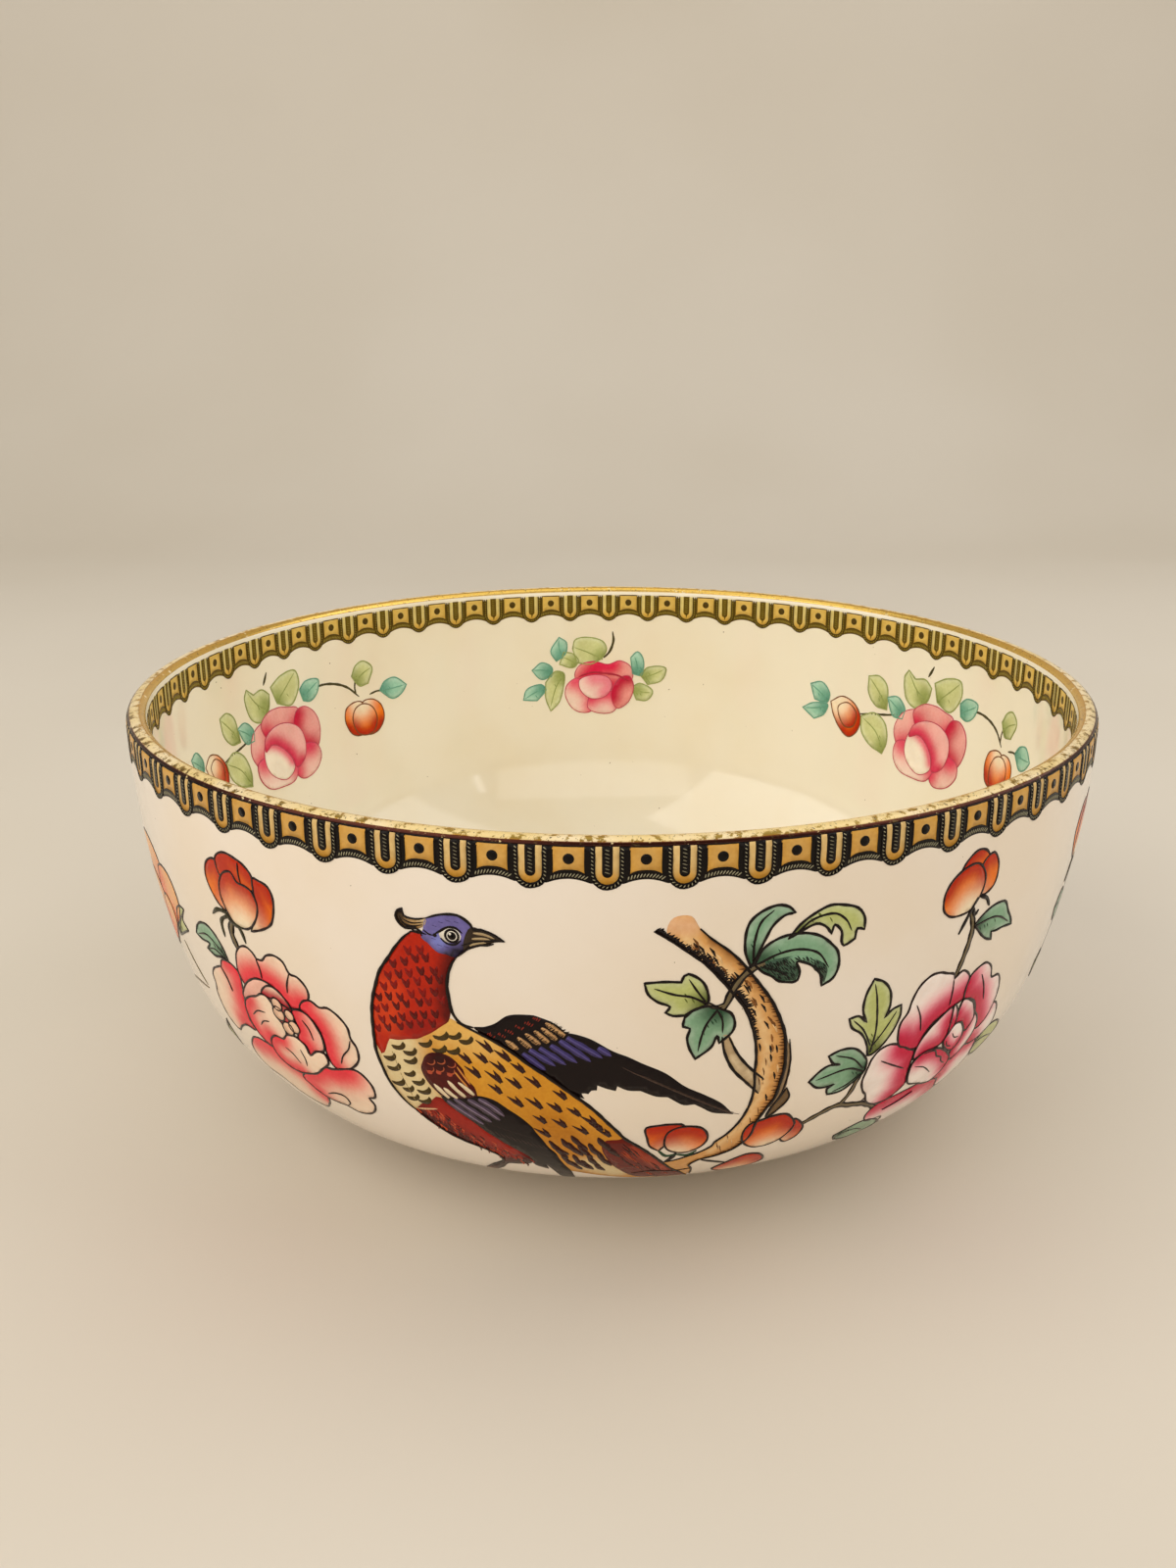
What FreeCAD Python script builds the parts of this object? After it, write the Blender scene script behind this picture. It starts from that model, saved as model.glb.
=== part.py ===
import FreeCAD, Part
import math
import os

import Sketcher
from FreeCAD import Vector

# Porcelain serving bowl, in millimetres.
# The origin is the middle of the circle that the foot stands on, and +Z points up.
# The front of the bowl, with the bird on it, faces -Y.

# ---------------------------------------------------------------- driving dimensions

SIZES = [
    ("rim_radius", 115.0),          # outside of the lip
    ("bowl_height", 100.0),         # standing plane to the top of the lip
    ("wall", 4.6),                  # thickness of the pot, the same all over
    ("wall_arc", 200.0),            # radius of the steep upper wall
    ("haunch_arc", 59.0),           # radius of the haunch below it
    ("heel_arc", 28.75),            # radius of the turn in towards the foot
    ("wall_end", 43.6),             # height where the upper wall meets the haunch
    ("haunch_end", 17.5),           # height where the haunch meets the heel
    ("heel_end", 9.7),              # height where the heel meets the underside
    ("foot_radius", 57.5),          # outside of the standing edge
    ("foot_width", 5.0),            # width of the standing edge
    ("foot_taper", 0.8),            # how much each side of the foot leans
    ("foot_blank", 8.0),            # height of the foot before the pot is cut from it
    ("foot_round", 1.2),            # rounding of the standing edge
    ("film", 0.25),                 # thickness of a gilt or enamel layer
    ("gilt_outside", 98.99),        # height of the gilding's edge outside the lip
    ("gilt_inside", 98.8),          # height of the gilding's edge inside the lip
    ("border_end", 91.4),           # height of the outer border's lower edge
    ("inner_border_top", 97.4),     # height of the inner border's upper edge
    ("inner_border_end", 90.6),     # height of the inner border's lower edge
    ("scene_step", 180.0),          # angle from one outer scene to its repeat
    ("spray_step", 120.0),          # angle from one inner spray to its repeat
]

doc = FreeCAD.newDocument("ServingBowl")
sheet = doc.addObject("Spreadsheet::Sheet", "Sizes")
for row, (alias, value) in enumerate(SIZES, start=1):
    sheet.set("A%d" % row, alias)
    sheet.set("B%d" % row, str(value))
    sheet.setAlias("B%d" % row, alias)
doc.recompute()


def size(alias):
    """The value of one cell of the sheet."""
    return float(sheet.get(alias))


# ------------------------------------------------------------------ the wall's shape

class Profile:
    """The pot's outside in the (radius, height) plane: four arcs, each tangent to the
    next, from the lip down to the axis. An angle is the wall's lean from vertical."""

    def __init__(self):
        radius = size("wall_arc")
        centre = Vector(size("rim_radius") - radius, size("bowl_height") - size("wall") / 2, 0)
        angle = 0.0
        self.arcs = []
        stations = [("haunch_arc", "wall_end"), ("heel_arc", "haunch_end"), (None, "heel_end")]
        for next_arc, end_height in stations:
            end_angle = math.asin((centre.y - size(end_height)) / radius)
            self.arcs.append((centre, radius, angle, end_angle))
            angle = end_angle
            outward = Vector(math.cos(angle), -math.sin(angle), 0)
            end = centre + outward * radius
            # The last arc has its centre on the axis, so the underside is level there.
            radius = size(next_arc) if next_arc else end.x / math.cos(angle)
            centre = end - outward * radius
        self.arcs.append((centre, radius, angle, math.pi / 2))

    def point(self, along, offset=0.0):
        """Radius and height at a distance along the outside from the lip's equator,
        moved off the surface by offset."""
        for centre, radius, start, end in self.arcs:
            length = radius * (end - start)
            if along <= length:
                break
            along -= length
        angle = start + along / radius
        reach = radius + offset
        return centre.x + reach * math.cos(angle), centre.y - reach * math.sin(angle)


profile = Profile()


# ------------------------------------------------------------------------- sketching

def origin_plane(body, role):
    for feature in body.Origin.OriginFeatures:
        if feature.Role == role:
            return feature
    raise RuntimeError("no origin plane " + role)


def new_body(label):
    body = doc.addObject("PartDesign::Body", label)
    body.Label = label
    return body


def new_sketch(body, name):
    """A sketch on the body's XZ plane: x is radius from the axis and y is height."""
    sketch = body.newObject("Sketcher::SketchObject", name)
    sketch.AttachmentSupport = [(origin_plane(body, "XZ_Plane"), "")]
    sketch.MapMode = "FlatFace"
    return sketch


def constrain(sketch, *arguments):
    return sketch.addConstraint(Sketcher.Constraint(*arguments))


def bind(sketch, expression, *arguments):
    """Add a dimension and bind it to the sheet."""
    index = constrain(sketch, *arguments)
    sketch.setExpression("Constraints[%d]" % index, expression)


def revolve(body, sketch, name):
    turned = body.newObject("PartDesign::Revolution", name)
    turned.Profile = sketch
    turned.ReferenceAxis = (sketch, ["V_Axis"])
    turned.Angle = 360.0
    body.Tip = turned
    doc.recompute()
    return body


# Positions on a sketch element, and the sketch's own axes.
START, END, CENTRE = 1, 2, 3
H_AXIS, V_AXIS = -1, -2
ORIGIN_POINT = (-1, 1)


def arc(sketch, centre, radius, low_angle, high_angle, construction=False):
    circle = Part.Circle(centre, Vector(0, 0, 1), radius)
    return sketch.addGeometry(Part.ArcOfCircle(circle, low_angle, high_angle), construction)


def line_between(sketch, first, first_end, second, second_end):
    """A straight edge joining an end of one element to an end of another."""
    start = sketch.getPoint(first, first_end)
    end = sketch.getPoint(second, second_end)
    line = sketch.addGeometry(Part.LineSegment(start, end), False)
    constrain(sketch, "Coincident", line, START, first, first_end)
    constrain(sketch, "Coincident", line, END, second, second_end)
    return line


def wall_chain(sketch, construction):
    """The pot's outside, from the lip to the axis, fully dimensioned."""
    chain = []
    for centre, radius, start, end in profile.arcs:
        chain.append(arc(sketch, centre, radius, -end, -start, construction))
    wall, haunch, heel, underside = chain
    bind(sketch, "Sizes.rim_radius", "DistanceX", *ORIGIN_POINT, wall, END, size("rim_radius"))
    equator = size("bowl_height") - size("wall") / 2
    bind(sketch, "Sizes.bowl_height - Sizes.wall / 2",
         "DistanceY", *ORIGIN_POINT, wall, CENTRE, equator)
    constrain(sketch, "Horizontal", wall, CENTRE, wall, END)
    for element, radius_name, end_name in ((wall, "wall_arc", "wall_end"),
                                           (haunch, "haunch_arc", "haunch_end"),
                                           (heel, "heel_arc", "heel_end")):
        bind(sketch, "Sizes." + radius_name, "Radius", element, size(radius_name))
        bind(sketch, "Sizes." + end_name,
             "DistanceY", *ORIGIN_POINT, element, START, size(end_name))
    for upper, lower in zip(chain, chain[1:]):
        constrain(sketch, "Tangent", upper, START, lower, END)
    constrain(sketch, "PointOnObject", underside, CENTRE, V_AXIS)
    constrain(sketch, "PointOnObject", underside, START, V_AXIS)
    return chain


def offset_chain(sketch, base, depth, depth_expression):
    """The same four arcs, depth inside the first chain."""
    chain = []
    for (centre, radius, start, end), parent in zip(profile.arcs, base):
        chain.append(arc(sketch, centre, radius - depth, -end, -start))
        constrain(sketch, "Coincident", chain[-1], CENTRE, parent, CENTRE)
    wall, underside = chain[0], chain[-1]
    bind(sketch, "Sizes.wall_arc - (%s)" % depth_expression,
         "Radius", wall, size("wall_arc") - depth)
    constrain(sketch, "Horizontal", wall, CENTRE, wall, END)
    for upper, lower in zip(chain, chain[1:]):
        constrain(sketch, "Tangent", upper, START, lower, END)
    constrain(sketch, "PointOnObject", underside, START, V_AXIS)
    return chain


# -------------------------------------------------------------------- the pot itself

def make_bowl_body():
    """Wall, floor and rounded lip, thrown in one piece."""
    body = new_body("bowl_body")
    sketch = new_sketch(body, "PotProfile")
    outside = wall_chain(sketch, False)
    inside = offset_chain(sketch, outside, size("wall"), "Sizes.wall")
    lip_radius = size("wall") / 2
    lip_centre = Vector(size("rim_radius") - lip_radius, size("bowl_height") - lip_radius, 0)
    lip = arc(sketch, lip_centre, lip_radius, 0.0, math.pi)
    constrain(sketch, "Tangent", lip, START, outside[0], END)
    constrain(sketch, "Coincident", lip, END, inside[0], END)
    line_between(sketch, outside[-1], START, inside[-1], START)
    return revolve(body, sketch, "Pot")


def make_foot_ring(pot):
    """A low ring with rounded edges, cut to the curve of the underside."""
    blank = new_body("FootBlank")
    sketch = new_sketch(blank, "FootProfile")
    outer, width = size("foot_radius"), size("foot_width")
    taper, top = size("foot_taper"), size("foot_blank")
    corners = [Vector(outer - width, 0, 0), Vector(outer, 0, 0),
               Vector(outer + taper, top, 0), Vector(outer - width - taper, top, 0)]
    edges = []
    for start, end in zip(corners, corners[1:] + corners[:1]):
        edges.append(sketch.addGeometry(Part.LineSegment(start, end), False))
    for first, second in zip(edges, edges[1:] + edges[:1]):
        constrain(sketch, "Coincident", first, END, second, START)
    standing, outside, upper, inside = edges
    constrain(sketch, "PointOnObject", standing, START, H_AXIS)
    constrain(sketch, "Horizontal", standing)
    constrain(sketch, "Horizontal", upper)
    bind(sketch, "Sizes.foot_radius", "DistanceX", *ORIGIN_POINT, standing, END, outer)
    bind(sketch, "Sizes.foot_width", "DistanceX", standing, START, standing, END, width)
    bind(sketch, "Sizes.foot_taper", "DistanceX", outside, START, outside, END, taper)
    bind(sketch, "Sizes.foot_taper", "DistanceX", inside, START, inside, END, taper)
    bind(sketch, "Sizes.foot_blank", "DistanceY", *ORIGIN_POINT, outside, END, top)
    revolve(blank, sketch, "FootTurned")
    edge_names = []
    for number, edge in enumerate(blank.Shape.Edges, start=1):
        on_floor = edge.BoundBox.ZMax < 0.001
        if on_floor and edge.Curve.TypeId == "Part::GeomCircle":
            edge_names.append("Edge%d" % number)
    rounding = blank.newObject("PartDesign::Fillet", "FootRounding")
    rounding.Base = (blank.getObject("FootTurned"), edge_names)
    rounding.Radius = size("foot_round")
    rounding.setExpression("Radius", "Sizes.foot_round")
    blank.Tip = rounding
    ring = doc.addObject("Part::Cut", "foot_ring")
    ring.Label = "foot_ring"
    ring.Base = blank
    ring.Tool = pot
    return ring


# ----------------------------------------------------------- gilding and the borders

def lip_arc(sketch, on_film, start_height, end_height):
    """An arc over the lip's round, or over the film on it, from one height to another.
    Each height is an alias of the sheet, or None for the lip's equator."""
    lip_radius = size("wall") / 2
    equator = size("bowl_height") - lip_radius
    radius = lip_radius + (size("film") if on_film else 0.0)
    centre = Vector(size("rim_radius") - lip_radius, equator, 0)
    angles = []
    for alias in (start_height, end_height):
        height = size(alias) if alias else equator
        angles.append(math.asin((height - equator) / radius))
    if end_height == "gilt_inside":
        angles[1] = math.pi - angles[1]
    element = arc(sketch, centre, radius, *angles)
    bind(sketch, "Sizes.rim_radius - Sizes.wall / 2",
         "DistanceX", *ORIGIN_POINT, element, CENTRE, centre.x)
    bind(sketch, "Sizes.bowl_height - Sizes.wall / 2",
         "DistanceY", *ORIGIN_POINT, element, CENTRE, centre.y)
    bind(sketch, "Sizes.wall / 2 + Sizes.film" if on_film else "Sizes.wall / 2",
         "Radius", element, radius)
    for end, alias in ((START, start_height), (END, end_height)):
        if alias:
            bind(sketch, "Sizes." + alias,
                 "DistanceY", *ORIGIN_POINT, element, end, size(alias))
        else:
            constrain(sketch, "Horizontal", element, CENTRE, element, end)
    return element


def wall_arc(sketch, offset, offset_expression, low_height, high_height):
    """An arc of the upper wall, moved outwards by offset, between two heights."""
    centre, radius = profile.arcs[0][:2]
    radius += offset
    angles = []
    for alias in (low_height, high_height):
        height = size(alias) if alias else centre.y
        angles.append(-math.asin((centre.y - height) / radius))
    element = arc(sketch, centre, radius, *angles)
    bind(sketch, "Sizes.wall_arc - Sizes.rim_radius",
         "DistanceX", element, CENTRE, *ORIGIN_POINT, -centre.x)
    bind(sketch, "Sizes.bowl_height - Sizes.wall / 2",
         "DistanceY", *ORIGIN_POINT, element, CENTRE, centre.y)
    bind(sketch, "Sizes.wall_arc + (%s)" % offset_expression, "Radius", element, radius)
    for end, alias in ((START, low_height), (END, high_height)):
        if alias:
            bind(sketch, "Sizes." + alias,
                 "DistanceY", *ORIGIN_POINT, element, end, size(alias))
        else:
            constrain(sketch, "Horizontal", element, CENTRE, element, end)
    return element


def make_gilt_rim_band():
    """Gold fired over the lip's round."""
    body = new_body("gilt_rim_band")
    sketch = new_sketch(body, "GiltProfile")
    under = lip_arc(sketch, False, "gilt_outside", "gilt_inside")
    over = lip_arc(sketch, True, "gilt_outside", "gilt_inside")
    line_between(sketch, under, START, over, START)
    line_between(sketch, under, END, over, END)
    return revolve(body, sketch, "Gilding")


def make_outer_border_band():
    """The printed border, from the gilding down over the lip's edge to the wall."""
    body = new_body("outer_border_band")
    sketch = new_sketch(body, "OuterBorderProfile")
    film = size("film")
    lip_under = lip_arc(sketch, False, None, "gilt_outside")
    lip_over = lip_arc(sketch, True, None, "gilt_outside")
    wall_under = wall_arc(sketch, 0.0, "0", "border_end", None)
    wall_over = wall_arc(sketch, film, "Sizes.film", "border_end", None)
    line_between(sketch, lip_under, END, lip_over, END)
    line_between(sketch, wall_under, START, wall_over, START)
    # The lip's arcs and the wall's arcs meet at the equator, where both are fixed.
    return revolve(body, sketch, "OuterBorder")


def make_inner_border_band():
    """The same border on the inside, a little below the lip."""
    body = new_body("inner_border_band")
    sketch = new_sketch(body, "InnerBorderProfile")
    wall, film = size("wall"), size("film")
    heights = ("inner_border_end", "inner_border_top")
    under = wall_arc(sketch, -wall, "0 - Sizes.wall", *heights)
    over = wall_arc(sketch, -wall - film, "0 - Sizes.wall - Sizes.film", *heights)
    line_between(sketch, under, START, over, START)
    line_between(sketch, under, END, over, END)
    return revolve(body, sketch, "InnerBorder")


# --------------------------------------------------------------- enamelled transfers

def make_enamel_layer(label, outside):
    """A film over the whole outside or inside of the pot, which the transfers are cut
    from. Only the cut pieces are parts of the bowl."""
    body = new_body(label)
    sketch = new_sketch(body, label + "Profile")
    wall, film = size("wall"), size("film")
    base = wall_chain(sketch, True)
    if outside:
        near = offset_chain(sketch, base, -film, "0 - Sizes.film")
        far = offset_chain(sketch, base, 0.0, "0")
    else:
        near = offset_chain(sketch, base, wall, "Sizes.wall")
        far = offset_chain(sketch, base, wall + film, "Sizes.wall + Sizes.film")
    line_between(sketch, near[0], END, far[0], END)
    line_between(sketch, near[-1], START, far[-1], START)
    return revolve(body, sketch, label + "Turned")


# Each outline is drawn on the wall in millimetres: how far along the rim from the
# motif's own middle, and how far down the wall from the top of the lip. It is a closed
# smooth curve through these points, a little outside the enamel, as the printed sheet
# is cut. Along the rim, positive is to the right as one faces the wall.

PHEASANT = [(-24, 14.5), (-18, 15.5), (-10, 13.5), (1, 20.5), (-8, 25.5), (-12, 31),
            (-9, 38), (1, 34.5), (9, 36.5), (20, 42), (33, 50), (43.5, 59), (45, 62.5),
            (34, 60), (24, 57), (16, 58), (26, 72), (37, 91), (12, 95), (-12, 92),
            (-22, 76), (-31, 62), (-32, 45), (-26, 28), (-18, 21)]
BRANCH = [(-16, 16), (-6, 13.5), (8, 12), (25, 14), (26.5, 21), (20, 34), (13, 35),
          (15, 56), (14, 63), (22, 67), (22, 76), (18, 92), (8, 94), (2, 90), (-7, 79),
          (-16, 71), (-15, 64), (-6, 63), (1.5, 66), (4.5, 60), (4, 54), (-3, 48),
          (-9, 46), (-11, 38), (-18, 30), (-17, 27), (-8, 26), (-6, 23)]
LEFT_PEONY = [(-14, 20), (-9, 14), (0, 13), (8, 16), (10, 22), (3, 30), (5, 33), (15, 38),
              (21, 43), (25, 50), (25, 66), (20, 73), (8, 77), (-8, 82), (-20, 76),
              (-26, 62), (-26, 50), (-26, 38), (-20, 33), (-14, 33)]
RIGHT_PEONY = [(-38, 55), (-33, 48.5), (-31, 42), (-28, 39), (-27, 32), (-20, 36),
               (-15, 37), (-8, 34.5), (-5, 28), (-13, 19), (-9, 12), (0, 10), (6, 14),
               (7, 23), (14, 29), (14, 35), (20, 44), (24, 58), (18, 74), (10, 90),
               (-4, 95), (-19, 90), (-21, 80), (-20, 73), (-26, 69), (-31.5, 70), (-32, 66),
               (-30, 62)]
SIDE_FLOWER = [(-16, 33), (-4, 24), (10, 24), (23, 33), (18, 47), (22, 55), (22, 75), (4, 88),
               (-14, 82), (-16, 60)]
BACK_BUD = [(-12, 22), (0, 14), (12, 22), (12, 40), (14, 56), (2, 66), (-12, 56), (-11, 38)]
LARGE_SPRAY = [(-50, 30), (-40, 23), (-24, 17), (-10, 12.5), (8, 12), (20, 15), (38, 16),
               (49, 24), (49, 30), (38, 41), (16, 46), (-8, 49), (-28, 43), (-46, 38)]
SMALL_SPRAY = [(-30, 36), (-25, 22), (-17, 14), (4, 12.5), (14, 20), (23, 25), (17, 36),
               (4, 41), (-12, 42), (-22, 41)]

# Distance down the wall from the top of the lip to its equator, where the wall starts.
LIP_DROP = size("wall") / 2


def outline_face(points, outside):
    """The outline seen square on, as a flat face in the XZ plane, ready to be thrown
    back onto the wall. One faces the inside of the wall from the other side, so there
    right is towards -X."""
    depth = 0.0 if outside else -size("wall")
    right = 1 if outside else -1
    corners = []
    for along_rim, down in points:
        radius, height = profile.point(down - LIP_DROP, depth)
        sideways = right * radius * math.sin(along_rim / size("rim_radius"))
        corners.append(Vector(sideways, 0, height))
    curve = Part.BSplineCurve()
    curve.interpolate(corners, PeriodicFlag=True)
    return Part.Face(Part.Wire([curve.toShape()]))


def make_transfer(label, points, layer, outside, azimuths):
    """A transfer and its repeats: the layer inside the outline, at each azimuth. An
    azimuth is in degrees anticlockwise seen from above, from the front of the bowl,
    as an expression."""
    punches = []
    for number, azimuth in enumerate(azimuths, start=1):
        name = "%s_%d" % (label, number)
        outline = doc.addObject("Part::Feature", name + "_outline")
        outline.Shape = outline_face(points, outside)
        outline.Placement.Rotation = FreeCAD.Rotation(Vector(0, 0, 1), 1.0)
        outline.setExpression("Placement.Rotation.Angle", azimuth)
        punch = doc.addObject("Part::Extrusion", name + "_punch")
        punch.Base = outline
        punch.DirMode = "Normal"
        punch.Solid = True
        doc.recompute()
        # The punch goes out from the axis through one side of the wall only.
        forward = outline.Placement.Rotation.multVec(Vector(0, -1, 0))
        punch.Reversed = outline.Shape.Faces[0].normalAt(0, 0).dot(forward) < 0
        punch.setExpression("LengthFwd", "2 * Sizes.rim_radius")
        punches.append(punch)
    group = doc.addObject("Part::Compound", label + "_punches")
    group.Links = punches
    transfer = doc.addObject("Part::Common", label)
    transfer.Label = label
    transfer.Base = layer
    transfer.Tool = group
    return transfer


def rim_angle(along_rim):
    """Degrees round the bowl for a distance along the rim."""
    return math.degrees(along_rim / size("rim_radius"))


def scene_azimuths(along_rim):
    """A motif's place in the front scene and in its repeat behind."""
    front = "%.2f" % rim_angle(along_rim)
    return [front, front + " + Sizes.scene_step"]


# ---------------------------------------------------------------- build and write out

pot = make_bowl_body()
parts = [pot, make_foot_ring(pot), make_gilt_rim_band(), make_outer_border_band(),
         make_inner_border_band()]

outer_layer = make_enamel_layer("OuterEnamel", True)
inner_layer = make_enamel_layer("InnerEnamel", False)
OUTER_TRANSFERS = [
    ("pheasant_transfer", PHEASANT, -20.0),
    ("branch_transfer", BRANCH, 22.0),
    ("left_peony_transfer", LEFT_PEONY, -80.0),
    ("right_peony_transfer", RIGHT_PEONY, 78.0),
    ("side_flower_transfer", SIDE_FLOWER, -133.0),
    ("back_bud_transfer", BACK_BUD, 133.0),
]
for label, points, along_rim in OUTER_TRANSFERS:
    parts.append(make_transfer(label, points, outer_layer, True, scene_azimuths(along_rim)))

# Small sprays are on the wall at the back, and large ones halfway between them.
for label, points, first in (("inner_small_sprays", SMALL_SPRAY, 180),
                             ("inner_large_sprays", LARGE_SPRAY, 120)):
    steps = ["%d + %d * Sizes.spray_step" % (first, count) for count in range(3)]
    parts.append(make_transfer(label, points, inner_layer, False, steps))

doc.recompute()

for item in doc.Objects:
    for state in item.State:
        if state in ("Invalid", "Error"):
            raise RuntimeError(item.Name + " is " + state)

os.makedirs("parts", exist_ok=True)
for part in parts:
    shape = part.Shape
    if shape.isNull() or not shape.isValid() or not shape.Solids:
        raise RuntimeError(part.Label + " has no valid solid")
    shape.exportStep("parts/" + part.Label + ".step")
    box = shape.BoundBox
    print("%-22s %2d solids %10.1f mm3  x %.1f %.1f  y %.1f %.1f  z %.1f %.1f" % (
        part.Label, len(shape.Solids), shape.Volume,
        box.XMin, box.XMax, box.YMin, box.YMax, box.ZMin, box.ZMax))
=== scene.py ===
import math
import random

import bpy
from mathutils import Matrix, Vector
from mathutils.geometry import delaunay_2d_cdt


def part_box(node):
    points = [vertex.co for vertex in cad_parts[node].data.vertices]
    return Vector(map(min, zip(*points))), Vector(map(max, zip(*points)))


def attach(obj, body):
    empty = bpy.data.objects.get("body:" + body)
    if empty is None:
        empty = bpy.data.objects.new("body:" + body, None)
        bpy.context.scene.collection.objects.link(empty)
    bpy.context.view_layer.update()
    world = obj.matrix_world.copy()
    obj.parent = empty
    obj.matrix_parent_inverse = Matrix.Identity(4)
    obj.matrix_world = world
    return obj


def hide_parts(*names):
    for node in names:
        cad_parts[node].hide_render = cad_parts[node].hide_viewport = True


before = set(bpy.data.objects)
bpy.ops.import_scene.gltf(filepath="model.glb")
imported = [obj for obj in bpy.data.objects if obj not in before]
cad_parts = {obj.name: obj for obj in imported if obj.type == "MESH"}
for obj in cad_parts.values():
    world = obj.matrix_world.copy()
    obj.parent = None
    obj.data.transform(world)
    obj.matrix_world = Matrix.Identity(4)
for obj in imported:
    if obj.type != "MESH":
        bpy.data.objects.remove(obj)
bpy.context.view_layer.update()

# A porcelain serving bowl: a glazed pot with a gilded lip, printed borders, and enamel
# decoration of a pheasant, a branch and peonies. Lengths are in millimetres until a
# mesh is made, when MM turns them into metres.

MM = 0.001
random.seed(7)

# ------------------------------------------------------------------ the wall's shape

pot_low, pot_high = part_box("bowl_body")
foot_low, foot_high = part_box("foot_ring")
RIM = pot_high.x / MM               # outside radius of the lip
HEIGHT = pot_high.z / MM            # top of the lip
WALL = 4.6                          # thickness of the pot
LIP = WALL / 2                      # radius of the lip's round
EQUATOR = HEIGHT - LIP              # height where the lip meets the wall

# Each arc of the outside: radius, and the height at which it ends. The last one ends
# level on the axis.
ARCS = [(200.0, 43.6), (59.0, 17.5), (28.75, 9.7), (None, None)]


def wall_arcs():
    """Centre, radius, and first and last lean from vertical of each arc."""
    made, lean = [], 0.0
    radius = ARCS[0][0]
    centre = (RIM - radius, EQUATOR)
    for (_, end_height), following in zip(ARCS, ARCS[1:]):
        end = math.asin((centre[1] - end_height) / radius)
        made.append((centre, radius, lean, end))
        corner = (centre[0] + radius * math.cos(end), centre[1] - radius * math.sin(end))
        lean, radius = end, following[0] or corner[0] / math.cos(end)
        centre = (corner[0] - radius * math.cos(end), corner[1] + radius * math.sin(end))
    return made + [(centre, radius, lean, math.pi / 2)]


WALL_ARCS = wall_arcs()


def section(down, lift, inside):
    """Radius and height on the bowl's surface. down is measured along the surface from
    the level of the lip's top, and lift is the distance off the surface."""
    along = down - LIP
    if along < 0:
        angle = -along / LIP
        reach = (LIP + lift) * math.cos(angle)
        middle = RIM - LIP
        return middle + (-reach if inside else reach), EQUATOR + (LIP + lift) * math.sin(angle)
    depth = WALL if inside else 0.0
    for centre, radius, start, end in WALL_ARCS:
        if along <= (radius - depth) * (end - start):
            break
        along -= (radius - depth) * (end - start)
    lean = min(start + along / (radius - depth), end)
    reach = radius - depth + (-lift if inside else lift)
    return centre[0] + reach * math.cos(lean), centre[1] - reach * math.sin(lean)


def on_wall(along, down, lift, turn=0.0, inside=False):
    """A point on the bowl, in metres. along is measured round the rim, to the right as
    one faces the front of the bowl, or its back wall from inside."""
    radius, height = section(down, lift, inside)
    angle = along / RIM + turn
    forward = radius * math.cos(angle)
    if not inside:
        forward = -forward
    return Vector((radius * math.sin(angle), forward, height)) * MM


# ---------------------------------------------------------------------------- colour

def paint(code):
    """Linear colour from a six-figure web colour."""
    made = []
    for at in (0, 2, 4):
        value = int(code[at:at + 2], 16) / 255
        made.append(value / 12.92 if value <= 0.04045 else ((value + 0.055) / 1.055) ** 2.4)
    return made


def blend(first, second, share):
    return [a + (b - a) * share for a, b in zip(first, second)]


PLATEAU = 1.25                      # above 1, the fifth nearest the line stays at 1


def fade(distance, radius):
    """1 near the line, falling smoothly to 0 at the radius."""
    share = min(1.0, max(0.0, PLATEAU * (1.0 - distance / radius)))
    return share * share * (3 - 2 * share)


# ------------------------------------------------------------------- lines and shapes

def points(text):
    """Outline points from "along,down" pairs. A star marks a sharp corner."""
    made = []
    for word in text.split():
        along, down = word.rstrip("*").split(",")
        made.append((float(along), float(down), word.endswith("*")))
    return made


def smooth(outline, closed, step):
    """A smooth curve through the points, broken at the corners, with a point every
    step or less."""
    count = len(outline)
    last = count if closed else count - 1
    made = []
    for index in range(last):
        here, there = outline[index], outline[(index + 1) % count]
        before, after = outline[index - 1], outline[(index + 2) % count]
        if here[2] or (not closed and index == 0):
            before = None
        if there[2] or (not closed and index == last - 1):
            after = None
        span = math.dist(here[:2], there[:2])
        if span < 1e-6:
            continue
        slopes = []
        for back, middle, front, other in ((before, here, there, 0), (here, there, after, 1)):
            if back is None or front is None:
                slopes.append((there[0] - here[0], there[1] - here[1]))
                continue
            total = math.dist(back[:2], middle[:2]) + math.dist(middle[:2], front[:2])
            slopes.append(tuple((front[k] - back[k]) * span / total for k in (0, 1)))
        parts = max(1, math.ceil(span / step))
        for part in range(parts):
            t = part / parts
            weights = (2 * t ** 3 - 3 * t * t + 1, t ** 3 - 2 * t * t + t,
                       3 * t * t - 2 * t ** 3, t ** 3 - t * t)
            made.append(tuple(weights[0] * here[k] + weights[1] * slopes[0][k]
                              + weights[2] * there[k] + weights[3] * slopes[1][k]
                              for k in (0, 1)))
    if not closed:
        made.append(outline[-1][:2])
    return made


def bounds_of(loop):
    """Left, right, top and bottom of an outline."""
    across, down = [p[0] for p in loop], [p[1] for p in loop]
    return min(across), max(across), min(down), max(down)


def contains(loop, point):
    """Whether a point is inside a closed outline."""
    x, y = point
    odd = False
    for (ax, ay), (bx, by) in zip(loop, loop[1:] + loop[:1]):
        if (ay > y) != (by > y) and x < (bx - ax) * (y - ay) / (by - ay) + ax:
            odd = not odd
    return odd


def to_segment(point, start, end):
    """Distance from a point to a straight line between two others."""
    dx, dy = end[0] - start[0], end[1] - start[1]
    square = dx * dx + dy * dy
    share = 0.0
    if square > 0:
        share = ((point[0] - start[0]) * dx + (point[1] - start[1]) * dy) / square
        share = min(1.0, max(0.0, share))
    return math.dist(point, (start[0] + dx * share, start[1] + dy * share))


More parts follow.
